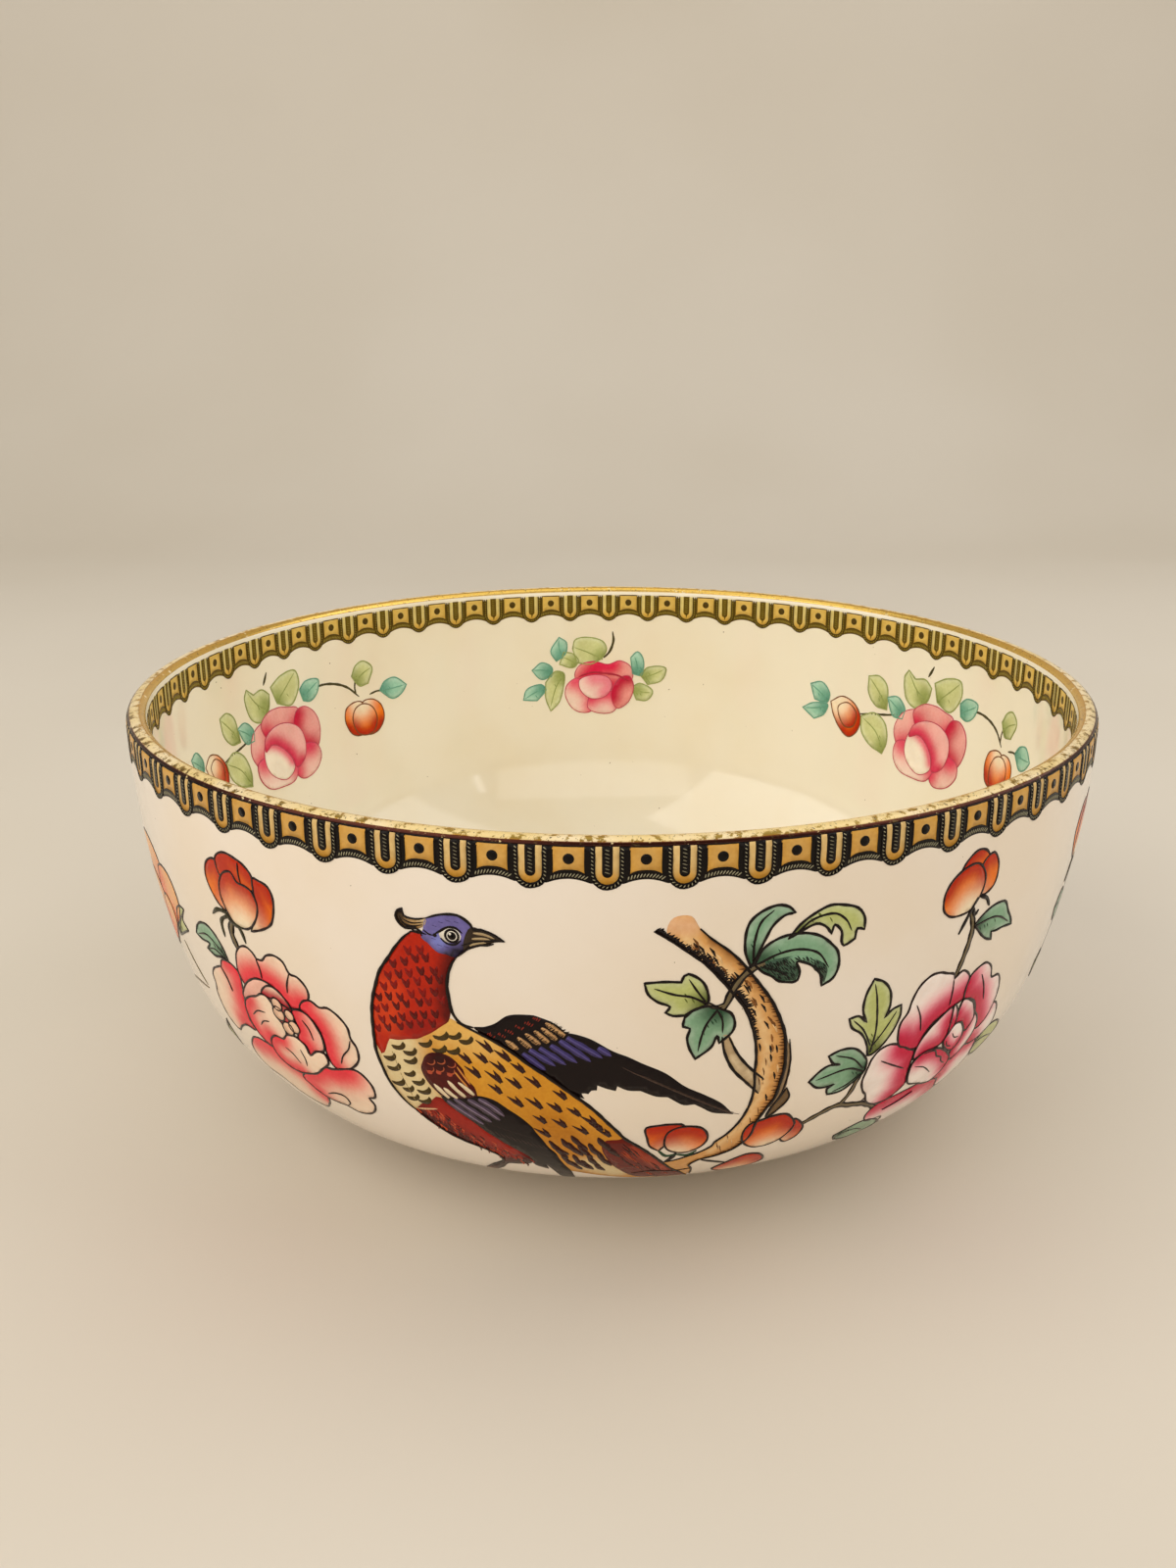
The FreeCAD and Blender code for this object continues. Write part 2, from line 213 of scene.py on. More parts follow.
def to_line(point, line):
    """Distance from a point to a line of points."""
    if len(line) == 1:
        return math.dist(point, line[0])
    return min(to_segment(point, a, b) for a, b in zip(line, line[1:]))


# ------------------------------------------------------------------------ enamel films

FIRST_LIFT = 0.03                   # the lowest enamel's height above the glaze
LAYER = 0.02                        # from each enamel layer to the one on top of it
SUNK = 0.04                         # how far a film's underside is inside the glaze
SEED_STEP = 1.5                     # spacing of points inside a filled shape
LIP_STEP = 0.3                      # the same, down the lip's tight round
DOT_SIDES = 14
WAVES = 1.9                         # radians of a stroke's unevenness in each millimetre


class Film:
    """One enamel piece: thin closed shapes lying on the bowl, coloured point by point.
    turns are the angles at which the whole drawing is repeated round the bowl."""

    def __init__(self, name, turns, inside=False, offset=(0.0, 0.0)):
        self.name, self.turns, self.inside, self.offset = name, turns, inside, offset
        self.points, self.faces, self.colours, self.smooth_faces = [], [], [], []

    def solid(self, flat, tops, edges, colours, layer):
        """Close a flat patch into a thin solid. tops are faces seen from off the wall,
        and edges run round them the same way."""
        lift = FIRST_LIFT + LAYER * layer
        size = len(flat)
        for turn in self.turns:
            first = len(self.points)
            for height in (lift, -SUNK):
                for x, y in flat:
                    x, y = self.offset[0] + x, self.offset[1] + y
                    self.points.append(on_wall(x, y, height, turn, self.inside))
            self.colours.extend(colours * 2)
            for face in tops:
                self.faces.append([first + k for k in face])
                self.faces.append([first + size + k for k in reversed(face)])
                self.smooth_faces.extend((True, True))
            for a, b in edges:
                self.faces.append([first + b, first + a, first + size + a, first + size + b])
                self.smooth_faces.append(False)

    def finer_at_lip(self, loop):
        """The loop with its steps down the lip's round kept short."""
        made = []
        for here, there in zip(loop, loop[1:] + loop[:1]):
            parts = 1
            if self.offset[1] + min(here[1], there[1]) < LIP + 0.1:
                parts = max(1, math.ceil(abs(there[1] - here[1]) / LIP_STEP))
            for part in range(parts):
                share = part / parts
                made.append((here[0] + (there[0] - here[0]) * share,
                             here[1] + (there[1] - here[1]) * share))
        return made

    def fill(self, loop, colour, washes=(), layer=0, step=SEED_STEP):
        """A filled shape. Each wash is (line, radius, colour), strongest on the line."""
        seeds = []
        loop = self.finer_at_lip(loop)
        left, right, top, bottom = bounds_of(loop)
        row = 0
        y = top + (LIP_STEP if self.offset[1] + top < LIP else step / 2)
        while y < bottom:
            near_lip = self.offset[1] + y < LIP + 0.3
            margin = 0.12 if near_lip else step * 0.35
            x = left + step * (0.25 if row % 2 else 0.75)
            while x < right:
                seed = (x, y)
                if contains(loop, seed) and to_line(seed, loop + loop[:1]) > margin:
                    seeds.append(seed)
                x += step
            y += LIP_STEP if near_lip else step * 0.87
            row += 1
        source = [Vector(p) for p in loop + seeds]
        made = delaunay_2d_cdt(source, [], [list(range(len(loop)))], 1, 1e-5)
        flat = [tuple(p) for p in made[0]]
        tops, edges = [], {}
        for face in made[2]:
            face = list(face)
            area = sum(flat[a][0] * flat[b][1] - flat[b][0] * flat[a][1]
                       for a, b in zip(face, face[1:] + face[:1]))
            if area > 0:
                face.reverse()
            tops.append(face)
            for a, b in zip(face, face[1:] + face[:1]):
                if (b, a) in edges:
                    del edges[(b, a)]
                else:
                    edges[(a, b)] = True
        colours = []
        for point in flat:
            shade = colour
            for line, radius, wash in washes:
                shade = blend(shade, wash, fade(to_line(point, line), radius))
            colours.append(shade)
        self.solid(flat, tops, list(edges), colours, layer)

    def shape(self, text, colour, washes=(), layer=0):
        """A filled shape whose smooth outline runs through the points in the text."""
        self.fill(smooth(points(text), True, 1.0), colour, washes, layer)

    def stroke(self, line, width, colour, layer=6, thin=(0.35, 0.35), wobble=0.12):
        """A drawn line, thinner at its ends and a little uneven, as a pen makes it."""
        line = [p for k, p in enumerate(line) if k == 0 or math.dist(p, line[k - 1]) > 1e-4]
        if len(line) < 2:
            return
        length = sum(math.dist(a, b) for a, b in zip(line, line[1:]))
        flat, gone = [], 0.0
        phase = random.uniform(0, 6.28)
        for index, here in enumerate(line):
            before = line[max(index - 1, 0)]
            after = line[min(index + 1, len(line) - 1)]
            if index:
                gone += math.dist(line[index - 1], here)
            reach = math.dist(before, after) or 1.0
            across = (-(after[1] - before[1]) / reach, (after[0] - before[0]) / reach)
            share = gone / length
            swell = math.sin(math.pi * min(max(share, 0.0), 1.0)) ** 0.5
            ends = thin[0] + (thin[1] - thin[0]) * share
            half = width / 2 * (ends + (1 - ends) * swell)
            half *= 1 + wobble * math.sin(phase + gone * WAVES)
            flat.append((here[0] + across[0] * half, here[1] + across[1] * half))
            flat.append((here[0] - across[0] * half, here[1] - across[1] * half))
        tops, edges = [], []
        final = len(flat) - 2
        for k in range(0, final, 2):
            tops.append([k, k + 2, k + 3, k + 1])
            edges.append((k, k + 2))
            edges.append((k + 3, k + 1))
        edges.append((1, 0))
        edges.append((final, final + 1))
        self.solid(flat, tops, edges, [colour] * len(flat), layer)

    def line(self, text, width, colour, layer=6, closed=False, **more):
        """A stroke along a smooth curve through the points in the text."""
        drawn = smooth(points(text), closed, 0.8)
        if closed:
            drawn = drawn + drawn[:2]
        self.stroke(drawn, width, colour, layer, **more)

    def dot(self, x, y, radius, colour, layer=5, stretch=1.0):
        """A filled round, or an oval that is wider by the stretch."""
        loop = []
        for k in range(DOT_SIDES):
            angle = 2 * math.pi * k / DOT_SIDES
            loop.append((x + radius * stretch * math.cos(angle), y + radius * math.sin(angle)))
        self.fill(loop, colour, layer=layer, step=max(radius, 0.5))

    def build(self, material, node):
        return make_piece(self.name, self.points, self.faces, material, node,
                          self.colours, self.smooth_faces)


def make_piece(name, corners, faces, material, node, colours, smooth_faces):
    """A piece of the bowl, from points in metres and a colour for each. It stands for
    the CAD node."""
    mesh = bpy.data.meshes.new(name)
    mesh.from_pydata(corners, [], faces)
    mesh.polygons.foreach_set("use_smooth", smooth_faces)
    layer = mesh.color_attributes.new("Paint", "FLOAT_COLOR", "POINT")
    flat = []
    for colour in colours:
        flat.extend((*colour, 1.0))
    layer.data.foreach_set("color", flat)
    mesh.materials.append(material)
    mesh.update()
    piece = bpy.data.objects.new(name, mesh)
    bpy.context.scene.collection.objects.link(piece)
    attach(piece, "root")
    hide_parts(node)


# ------------------------------------------------------------------------- materials

def set_inputs(node, **values):
    """Set a node's inputs by name, with _ for each space."""
    for name, value in values.items():
        node.inputs[name.replace("_", " ")].default_value = value


def new_material(name, **values):
    """A material, its node tree, and its shader with these values."""
    material = bpy.data.materials.new(name)
    material.use_nodes = True
    tree = material.node_tree
    shader = tree.nodes["Principled BSDF"]
    set_inputs(shader, **values)
    return material, tree, shader


def painted(tree):
    """The colour painted on the mesh."""
    made = tree.nodes.new("ShaderNodeAttribute")
    made.attribute_name = "Paint"
    return made.outputs["Color"]


def noise(tree, scale, detail, roughness=0.5):
    place = tree.nodes.new("ShaderNodeTexCoord")
    made = tree.nodes.new("ShaderNodeTexNoise")
    set_inputs(made, Scale=scale, Detail=detail, Roughness=roughness)
    tree.links.new(place.outputs["Object"], made.inputs["Vector"])
    return made.outputs["Fac"]


def steps(tree, source, low, high):
    """0 below low, 1 above high."""
    made = tree.nodes.new("ShaderNodeMapRange")
    made.interpolation_type = "SMOOTHSTEP"
    set_inputs(made, From_Min=low, From_Max=high)
    tree.links.new(source, made.inputs["Value"])
    return made.outputs["Result"]


def mixed(tree, share, first, second, mode="MIX"):
    """A colour mix. first and second are colours or sockets; share is a socket or number."""
    made = tree.nodes.new("ShaderNodeMix")
    made.data_type = "RGBA"
    made.blend_type = mode
    for at, value in ((0, share), (6, first), (7, second)):
        if isinstance(value, bpy.types.NodeSocket):
            tree.links.new(value, made.inputs[at])
        elif at:
            made.inputs[at].default_value = (*value, 1.0)
        else:
            made.inputs[at].default_value = value
    return made.outputs[2]


def bumpy(tree, shader, height, strength, distance):
    """Make the surface uneven. The distance is in metres."""
    made = tree.nodes.new("ShaderNodeBump")
    set_inputs(made, Strength=strength, Distance=distance)
    tree.links.new(height, made.inputs["Height"])
    tree.links.new(made.outputs["Normal"], shader.inputs["Normal"])


def glaze_material(name, shade, roughness):
    """White glaze in the colours painted on the mesh: faintly mottled, with a few tiny
    specks and an uneven gloss."""
    material, tree, shader = new_material(name, Roughness=roughness, IOR=1.52,
                                          Coat_Weight=0.15, Coat_Roughness=0.03)
    colour = painted(tree)
    cloudy = steps(tree, noise(tree, 22, 4), 0.35, 0.75)
    darker = mixed(tree, 1.0, colour, paint(shade), "MULTIPLY")
    base = mixed(tree, cloudy, colour, darker)
    specks = steps(tree, noise(tree, 950, 1), 0.8, 0.84)
    base = mixed(tree, specks, base, paint("8c7a5c"))
    tree.links.new(base, shader.inputs["Base Color"])
    bumpy(tree, shader, noise(tree, 170, 2), 0.35, 0.00006)
    return material


def enamel_material(name, roughness=0.2, strength=0.35):
    """Overglaze enamel in the colours painted on the mesh, slightly uneven, with fine
    grain where the print lets the glaze through."""
    material, tree, shader = new_material(name, Roughness=roughness, IOR=1.4,
                                          Specular_IOR_Level=0.22)
    colour = painted(tree)
    grain = steps(tree, noise(tree, 1300, 2), 0.3, 0.75)
    cloudy = steps(tree, noise(tree, 210, 3), 0.3, 0.8)
    shade = mixed(tree, 0.22, colour, (1, 1, 1), "SOFT_LIGHT")
    base = mixed(tree, grain, colour, shade)
    darker = mixed(tree, 0.16, base, (0.3, 0.2, 0.12), "MULTIPLY")
    base = mixed(tree, cloudy, base, darker)
    tree.links.new(base, shader.inputs["Base Color"])
    bumpy(tree, shader, noise(tree, 700, 2), strength, 0.00008)
    return material


def gilt_material(name, worn_from, roughness):
    """Rubbed gold: glaze shows through where it is worn, and dark dirt lies in the pits.
    The painted colour turns to dark rust where the gold meets the border."""
    material, tree, shader = new_material(name, Roughness=roughness, IOR=1.5)
    colour = painted(tree)
    worn = steps(tree, noise(tree, 420, 5, 0.7), worn_from, worn_from + 0.07)
    dirt = steps(tree, noise(tree, 1500, 4, 0.65), 0.6, 0.65)
    uneven = steps(tree, noise(tree, 60, 2), 0.35, 0.65)
    rubbed = mixed(tree, uneven, paint("f0dcb4"), paint("e8cd8c"))
    base = mixed(tree, worn, colour, rubbed)
    base = mixed(tree, dirt, base, paint("5c4a2a"))
    tree.links.new(base, shader.inputs["Base Color"])
    metal = tree.nodes.new("ShaderNodeMapRange")
    set_inputs(metal, To_Min=0.8, To_Max=0.05)
    tree.links.new(worn, metal.inputs["Value"])
    tree.links.new(metal.outputs["Result"], shader.inputs["Metallic"])
    bumpy(tree, shader, noise(tree, 600, 4), 0.4, 0.00008)
    return material


GLAZE = glaze_material("porcelain_glaze", "fbf7ef", 0.09)
ENAMEL = enamel_material("bright_enamel")
PRINT = enamel_material("printed_enamel", 0.26, 0.45)
BRIGHT_GILT = gilt_material("bright_gilt", 0.6, 0.22)
WORN_GILT = gilt_material("worn_gilt", 0.42, 0.28)

# ---------------------------------------------------------------- the pot and its foot

ROUND = 384                         # points round the bowl


def turned(name, profile, material, node, colours):
    """A closed piece turned about Z from a closed profile of (radius, height) points,
    taken so that the piece is on its left, each with its colour. A radius of 0 makes
    one point."""
    corners, rings, shades = [], [], []
    for index, (radius, height) in enumerate(profile):
        if radius < 1e-6:
            rings.append([len(corners)] * ROUND)
            corners.append(Vector((0, 0, height)) * MM)
            shades.append(colours[index])
            continue
        rings.append(list(range(len(corners), len(corners) + ROUND)))
        for k in range(ROUND):
            angle = 2 * math.pi * k / ROUND
            x, y = radius * math.cos(angle), radius * math.sin(angle)
            corners.append(Vector((x, y, height)) * MM)
        shades.extend([colours[index]] * ROUND)
    faces = []
    closed = profile[0][0] > 1e-6
    pairs = list(zip(rings, rings[1:])) + ([(rings[-1], rings[0])] if closed else [])
    for low, high in pairs:
        for k in range(ROUND):
            after = (k + 1) % ROUND
            face = [low[k], low[after], high[after], high[k]]
            face = [c for at, c in enumerate(face) if c != face[at - 1]]
            if len(face) > 2:
                faces.append(face)
    make_piece(name, corners, faces, material, node, shades, [True] * len(faces))


def side_length(inside):
    """Down the surface, from the level of the lip's top to the axis."""
    depth = WALL if inside else 0.0
    return LIP + sum((radius - depth) * (end - start) for _, radius, start, end in WALL_ARCS)


def surface(first, last, inside, spacing):
    """The section's points between two distances down the surface."""
    parts = max(1, round(abs(last - first) / spacing))
    return [section(first + (last - first) * k / parts, 0.0, inside) for k in range(parts + 1)]


LIP_TOP = LIP - LIP * math.pi / 2   # down the surface, to the very top of the lip
SIDE_STEP = 1.7                     # between the rings down the pot's sides


def make_pot():
    """The pot, from the middle of its underside, over the lip, to the middle inside."""
    under = surface(side_length(False), LIP, False, SIDE_STEP)
    lip_out = surface(LIP, LIP_TOP, False, LIP_STEP)
    lip_in = surface(LIP_TOP, LIP, True, LIP_STEP)
    well = surface(LIP, side_length(True), True, SIDE_STEP)
    profile = under + lip_out[1:] + lip_in[1:] + well[1:]
    profile[0] = (0.0, profile[0][1])
    profile[-1] = (0.0, profile[-1][1])
    # inner is a yellower cream than outer: a painted warm reflection inside the well, on one and the same
    # glaze.
    outer, inner = paint("f3e7d8"), paint("f4ecd6")
    outside = len(under) + len(lip_out) - 1
    colours = [outer] * outside + [inner] * (len(profile) - outside)
    turned("glazed_pot", profile, GLAZE, "bowl_body", colours)


FOOT_WIDTH = 5.0
DRY_HEIGHT = 1.5                    # below this the foot is wiped clean of glaze


def make_foot():
    """The foot ring: a slight taper, rounded edges, a dry standing edge that is wiped
    clean of glaze, a shallow turned groove on each side, and a darker glaze colour on
    the inner side, which is painted shade."""
    outer, inner = foot_high.x / MM, foot_high.x / MM - FOOT_WIDTH
    top = foot_high.z / MM
    # shade is a darker glaze colour for the inner side of the ring: painted shade for the hollow under the
    # pot, on the same glaze as the outside.
    glaze, clay, shade = paint("ece2cd"), paint("c9b48f"), paint("ddd0b6")
    outside = [(0.9, 0.45), (0.35, 1.0), (0.05, 1.9), (0.22, 2.25), (0.26, 2.5), (0.12, 2.8),
               (0.1, 3.6), (0.3, 4.6), (0.55, 5.4)]
    profile, colours = [], []
    for inset, height in outside:
        profile.append((outer - inset, height))
        colours.append(clay if height < DRY_HEIGHT else glaze)
    profile.extend([(outer - 0.8, top - 0.06), (inner + 0.8, top - 0.4)])
    colours.extend((glaze, glaze))
    for inset, height in reversed(outside):
        profile.append((inner + inset, height))
        # Glazed points on the inner side take the painted shade.
        colours.append(clay if height < DRY_HEIGHT else shade)
    profile.extend([(inner + 1.3, 0.12), (inner + 1.7, 0.0)])
    profile.extend([(outer - 1.7, 0.0), (outer - 1.3, 0.12)])
    colours.extend((clay, clay, clay, clay))
    material, tree, shader = new_material("foot_clay", Roughness=0.3, IOR=1.5,
                                          Coat_Weight=0.15, Coat_Roughness=0.1)
    colour = painted(tree)
    grit = steps(tree, noise(tree, 800, 4, 0.7), 0.45, 0.7)
    darker = mixed(tree, 0.5, colour, paint("b49a72"), "MULTIPLY")
    base = mixed(tree, grit, colour, darker)
    tree.links.new(base, shader.inputs["Base Color"])
    bumpy(tree, shader, noise(tree, 900, 4), 0.5, 0.00012)
    turned("turned_foot", profile, material, "foot_ring", colours)


def gilt_strip(name, first, last, material, colours, lift):
    """A strip of gilding over the lip between two angles, given in degrees round the
    lip's section from straight out. colours are (angle, colour) from first to last."""
    face, back, shades = [], [], []
    parts = max(4, round((last - first) / 6))
    for k in range(parts + 1):
        degrees = first + (last - first) * k / parts
        angle = math.radians(degrees)
        for reach, line in ((LIP + lift, face), (LIP - 0.06, back)):
            line.append((RIM - LIP + reach * math.cos(angle), EQUATOR + reach * math.sin(angle)))
        low, high = colours[0], colours[-1]
        for one, other in zip(colours, colours[1:]):
            if one[0] <= degrees <= other[0]:
                low, high = one, other
                break
        share = (degrees - low[0]) / max(high[0] - low[0], 1)
        shades.append(blend(low[1], high[1], min(max(share, 0), 1)))
    turned(name, face + back[::-1], material, "gilt_rim_band",
           shades + shades[::-1])


def make_gilding():
    """Gold over the lip: a dark red-brown line at the border, rubbed away over the
    crest, and still bright along the inner edge."""
    border_edge, rubbed_from, bright_from, inside_edge = 30, 48, 104, 150
    gold, rust, olive = paint("dba83e"), paint("38140a"), paint("8d7434")
    gilt_strip("gilding_edge", border_edge, rubbed_from, BRIGHT_GILT,
               [(border_edge, rust), (42, rust), (rubbed_from, paint("7a3a1c"))], 0.05)
    gilt_strip("rubbed_gilding", rubbed_from, bright_from, WORN_GILT,
               [(rubbed_from, paint("a8792c")), (60, olive), (bright_from, gold)], 0.04)
    gilt_strip("bright_gilding", bright_from, inside_edge, BRIGHT_GILT,
               [(bright_from, gold), (inside_edge, paint("e8c46a"))], 0.05)


# ----------------------------------------------------------------------- the borders

def strip(film, line, count, gap, colour, layer, slant=0.9, width=0.2):
    """A row of short slanting flecks along a line."""
    total = sum(math.dist(a, b) for a, b in zip(line, line[1:]))
    for index in range(count):
        target, gone = total * (index + 0.5) / count, 0.0
        for a, b in zip(line, line[1:]):
            length = math.dist(a, b)
            if gone + length >= target:
                break
            gone += length
        share = (target - gone) / length
        x, y = a[0] + (b[0] - a[0]) * share, a[1] + (b[1] - a[1]) * share
        dx, dy = (b[0] - a[0]) / length, (b[1] - a[1]) / length
        jitter = random.uniform(0.75, 1.15)
        half = gap * jitter
        lean = slant * half * 0.5
        first = (x - dy * half - dx * lean, y + dx * half - dy * lean)
        last = (x + dy * half + dx * lean, y - dx * half + dy * lean)
        film.stroke([first, (x, y), last], width, colour, layer, thin=(0.6, 0.6), wobble=0)


U_OPEN = 21                         # a U's points without the ones along its top


def u_shape(centre, half, top, bottom):
    """A closed outline with square top corners and a round bottom."""
    low = bottom - half
    made = [(centre - half, top + (low - top) * k / 4) for k in range(5)]
    made += [(centre - half * math.cos(math.pi * k / 12), low + half * math.sin(math.pi * k / 12))
             for k in range(1, 12)]
    made += [(centre + half, low + (top - low) * k / 4) for k in range(5)]
    made += [(centre + half - half * k / 2, top) for k in (1, 2, 3)]
    return made


def make_border(name, node, inside, repeats, start, top, drop, tones):
    """A border of squares with dots, and U shapes, on a dark ground with flecks."""
    ground, square, cream, fleck, dark = [paint(tone) for tone in tones]
    pitch = 2 * math.pi * RIM / repeats
    turns = [2 * math.pi * k / repeats for k in range(repeats)]
    film = Film(name, turns, inside, (start, drop))
    half = pitch / 2
    side = 2.9                      # half the width of a square
    arm = 2.1                       # half the width of a U
    middle = half                   # where the U is, from the square's middle
    edge_steps, top_steps = 28, 20
    edge = []
    for k in range(edge_steps + 1):
        x = -half + pitch * k / edge_steps
        reach = abs(abs(x) - half)
        under = 6.2 + math.sqrt(max(0.0, 9.6 - reach * reach)) if reach < 3.1 else 0.0
        arch = 7.3 + 0.85 * min(1.0, (x / 3.8) ** 2)
        edge.append((x, max(under, arch)))
    across = [(half - pitch * k / top_steps, top) for k in range(top_steps + 1)]
    film.fill(edge + across, ground, layer=0)
    corners = f"{-side},1.2* {-side},6.35* -1.5,5.8 0,5.65 1.5,5.8 {side},6.35* {side},1.2*"
    film.shape(corners, square, [([(0, 3.5)], 4.5, blend(square, cream, 0.35))], 1)
    film.line(corners, 0.28, dark, 2, closed=True, thin=(1, 1))
    film.dot(0, 3.5, 1.02, dark, 3)
    film.fill(u_shape(middle, arm, 1.2, 8.3), cream, [([(middle, 8)], 4, square)], 1)
    film.fill(u_shape(middle, 0.95, 1.1, 7.0), ground, layer=2)
    bend = u_shape(middle, 2.65, 1.3, 8.9)[:U_OPEN]
    strip(film, bend, 25, 0.3, fleck, 2, slant=1.3, width=0.19)
    under = [(k * 0.42 - 3.36, 6.55 + 0.8 * ((k - 8) / 9) ** 2) for k in range(17)]
    strip(film, under, 12, 0.34, fleck, 2, slant=1.3, width=0.2)
    slot_fleck = blend(fleck, ground, 0.45)
    strip(film, [(middle, 1.5), (middle, 6.4)], 7, 0.4, slot_fleck, 3, slant=0.7)
    for radius, bottom in ((2.28, 8.48), (3.02, 9.25)):
        arc = u_shape(middle, radius, 1.2, bottom)[:U_OPEN]
        film.stroke(arc, 0.3, dark, 4, thin=(1, 1), wobble=0.3)
    film.build(PRINT, node)


# ----------------------------------------------------------------- drawing, in general

INK = paint("120704")               # the print's near-black brown line
FLOWER_INK = paint("1f0808")
FRONT = (0.0, math.pi)              # the outside scene, and its repeat at the back


def ring(x, y, radius, share, count):
    """Points round a centre, each 1 / share of a radian on from the one before."""
    return [(x + radius * math.cos(k / share), y + radius * math.sin(k / share))
            for k in range(count)]


def vees(film, places, size, colour, layer, width):
    """V marks, pointing down to the right along the feathers."""
    for x, y, *_ in points(places):
        size_here = size * random.uniform(0.85, 1.12)
        tip = (x + size_here * 0.52, y + size_here * 0.42)
        for dx, dy in ((-0.5, -0.42), (0.08, -0.5)):
            start = (x + dx * size_here, y + dy * size_here)
            bend = ((start[0] + tip[0]) / 2 + 0.08, (start[1] + tip[1]) / 2 - 0.05)
            film.stroke([start, bend, tip], width * 1.25, colour, layer, thin=(0.15, 0.9))


def crescents(film, places, radius, colour, layer):
    """Scale marks: thick arcs at the lower right of each scale."""
    for x, y, *_ in points(places):
        size = radius * random.uniform(0.85, 1.1)
        line = []
        for k in range(9):
            angle = math.radians(-15 + 150 * k / 8)
            line.append((x + size * math.cos(angle) * 0.95, y + size * math.sin(angle) * 0.8))
        film.stroke(line, 1.2, colour, layer, thin=(0.1, 0.15))


def hatch(film, line, length, lean, spacing, width, colour, layer):
    """Short strokes side by side along a line."""
    for a, b in zip(line, line[1:]):
        parts = max(1, round(math.dist(a, b) / spacing))
        for k in range(parts):
            share = (k + random.uniform(0.2, 0.8)) / parts
            x, y = a[0] + (b[0] - a[0]) * share, a[1] + (b[1] - a[1]) * share
            reach = length * random.uniform(0.6, 1.15)
            angle = math.radians(lean + random.uniform(-9, 9))
            end = (x + reach * math.cos(angle), y + reach * math.sin(angle))
            film.stroke([(x, y), ((x + end[0]) / 2, (y + end[1]) / 2), end],
                        width, colour, layer, thin=(0.5, 0.1))


def inner_edge(loop, heart, share=0.36):
    """The part of a petal's outline nearest to the flower's heart, in order along it."""
    limit = sorted(math.dist(p, heart) for p in loop)[int(len(loop) * share)]
    start = max(range(len(loop)), key=lambda k: math.dist(loop[k], heart))
    turned_loop = loop[start:] + loop[:start]
    return [p for p in turned_loop if math.dist(p, heart) <= limit]


def outline(film, loop, width, ink, layer):
    """A slightly uneven line round a shape."""
    film.stroke(loop + loop[:2], width, ink, layer, thin=(0.85, 0.85), wobble=0.14)


def petal(film, text, deep, rim, heart, reach, layer, ink=FLOWER_INK, width=0.55,
          bright=None):
    """A petal: deep colour along the edge near the flower's heart, fading to a pale rim,
    through a brighter colour if there is one."""
    loop = smooth(points(text), True, 0.9)
    edge = inner_edge(loop, heart)
    washes = [(edge, reach, blend(rim, deep, 0.5)), (edge, reach * 0.68, deep)]
    if bright:
        washes = [(edge, reach, blend(rim, bright, 0.5)), (edge, reach * 0.8, bright),
                  (edge, reach * 0.56, deep)]
    film.fill(loop, rim, washes, layer, 1.1)
    outline(film, loop, width, ink, layer + 0.5)


def leaf(film, text, base, dark, veins, layer=1, ink=INK, width=0.55, hatching=9, thick=0.5):
    """A leaf with its ribs, paler at its edge, and darkened by fine hatching near the
    stem, where the first rib starts."""
    loop = smooth(points(text), True, 0.9)
    ribs = [smooth(points(vein), False, 0.8) for vein in veins]
    root, light = ribs[0][0], blend(base, (1, 1, 0.9), 0.16)
    washes = [([p[:2] for p in loop[::3]], 1.6, light), ([root], 5.6, blend(base, dark, 0.9))]
    film.fill(loop, base, washes, layer, 1.1)
    for _ in range(hatching):
        share = random.random() ** 1.8
        at = ribs[0][int(share * (len(ribs[0]) - 1) * 0.5)]
        x, y = at[0] + random.uniform(-1.3, 1.3), at[1] + random.uniform(-1.1, 1.1)
        stroke = [(x, y), (x + 0.35, y + 0.5), (x + 0.6, y + 1.0)]
        if all(contains(loop, p) for p in stroke):
            film.stroke(stroke, 0.28, dark, layer + 1, thin=(0.5, 0.2))
    for at, rib in enumerate(ribs):
        film.stroke(rib, thick if at == 0 else thick * 0.84, ink, layer + 2, thin=(1.0, 0.15))
    outline(film, loop, width, ink, layer + 3)


def shaded(film, text, count, ink, layer):
    """Fine short strokes scattered over a shape, as an engraver shades it."""
    loop = smooth(points(text), True, 1)
    left, right, top, bottom = bounds_of(loop)
    for _ in range(count):
        x, y = random.uniform(left, right), random.uniform(top, bottom)
        stroke = [(x - 0.3, y - 0.35), (x, y), (x + 0.3, y + 0.35)]
        if all(contains(loop, p) for p in stroke):
            film.stroke(stroke, 0.22, ink, layer, thin=(0.5, 0.5))


def stem(film, text, width, layer=3):
    """A stem or twig: a dark line with a paler brown core."""
    film.line(text, width, INK, layer, thin=(0.8, 0.8))
    film.line(text, width * 0.42, paint("6f6044"), layer + 0.5, thin=(0.8, 0.8))


def drawn(film, text, width, ink=INK, layer=6, **more):
    """A line of ink, a little wider than its given width, as the print spreads."""
    film.line(text, width * 1.2, ink, layer, **more)


# ----------------------------------------------------------------------- the pheasant

HEAD_TOP = "-35.7,17.2 -33.6,16.35 -31.6,15.9 -29.5,15.9 -28.1,16.6 -27,17.6 -26.6,18.4"
CHEST = ("-38.9,20.4 -40.7,22 -42.8,24.6 -44.2,26.7 -45.7,28.8 -46.9,30.8 -47.8,33.2 -48.9,36.1 "
         "-49.8,39.6 -50.3,43.2 -50.7,47.3 -50.9,50.2 -50.2,54.5 -49.5,57.5 -48.1,60.6 "
         "-46.4,63.3 -44.8,65")
BELLY = ("-44.8,65 -42.9,67.2 -40.6,69.5 -37.9,72 -34.5,74.1 -31.4,75.6 -29.1,77.2 -27.7,78.7 "
         "-27.3,80.2 -27.7,81.8 -29.5,83.7 -31.4,85.6 -34.5,89.8")
THROAT = ("-30.1,24.6 -31,25.8 -31.9,27.9 -32.4,29.9 -32.6,32 -32.4,34.4 -32.2,36.7 -31.6,38.2 "
          "-30.7,39.4 -29.5,39.9 -28.1,40.1")
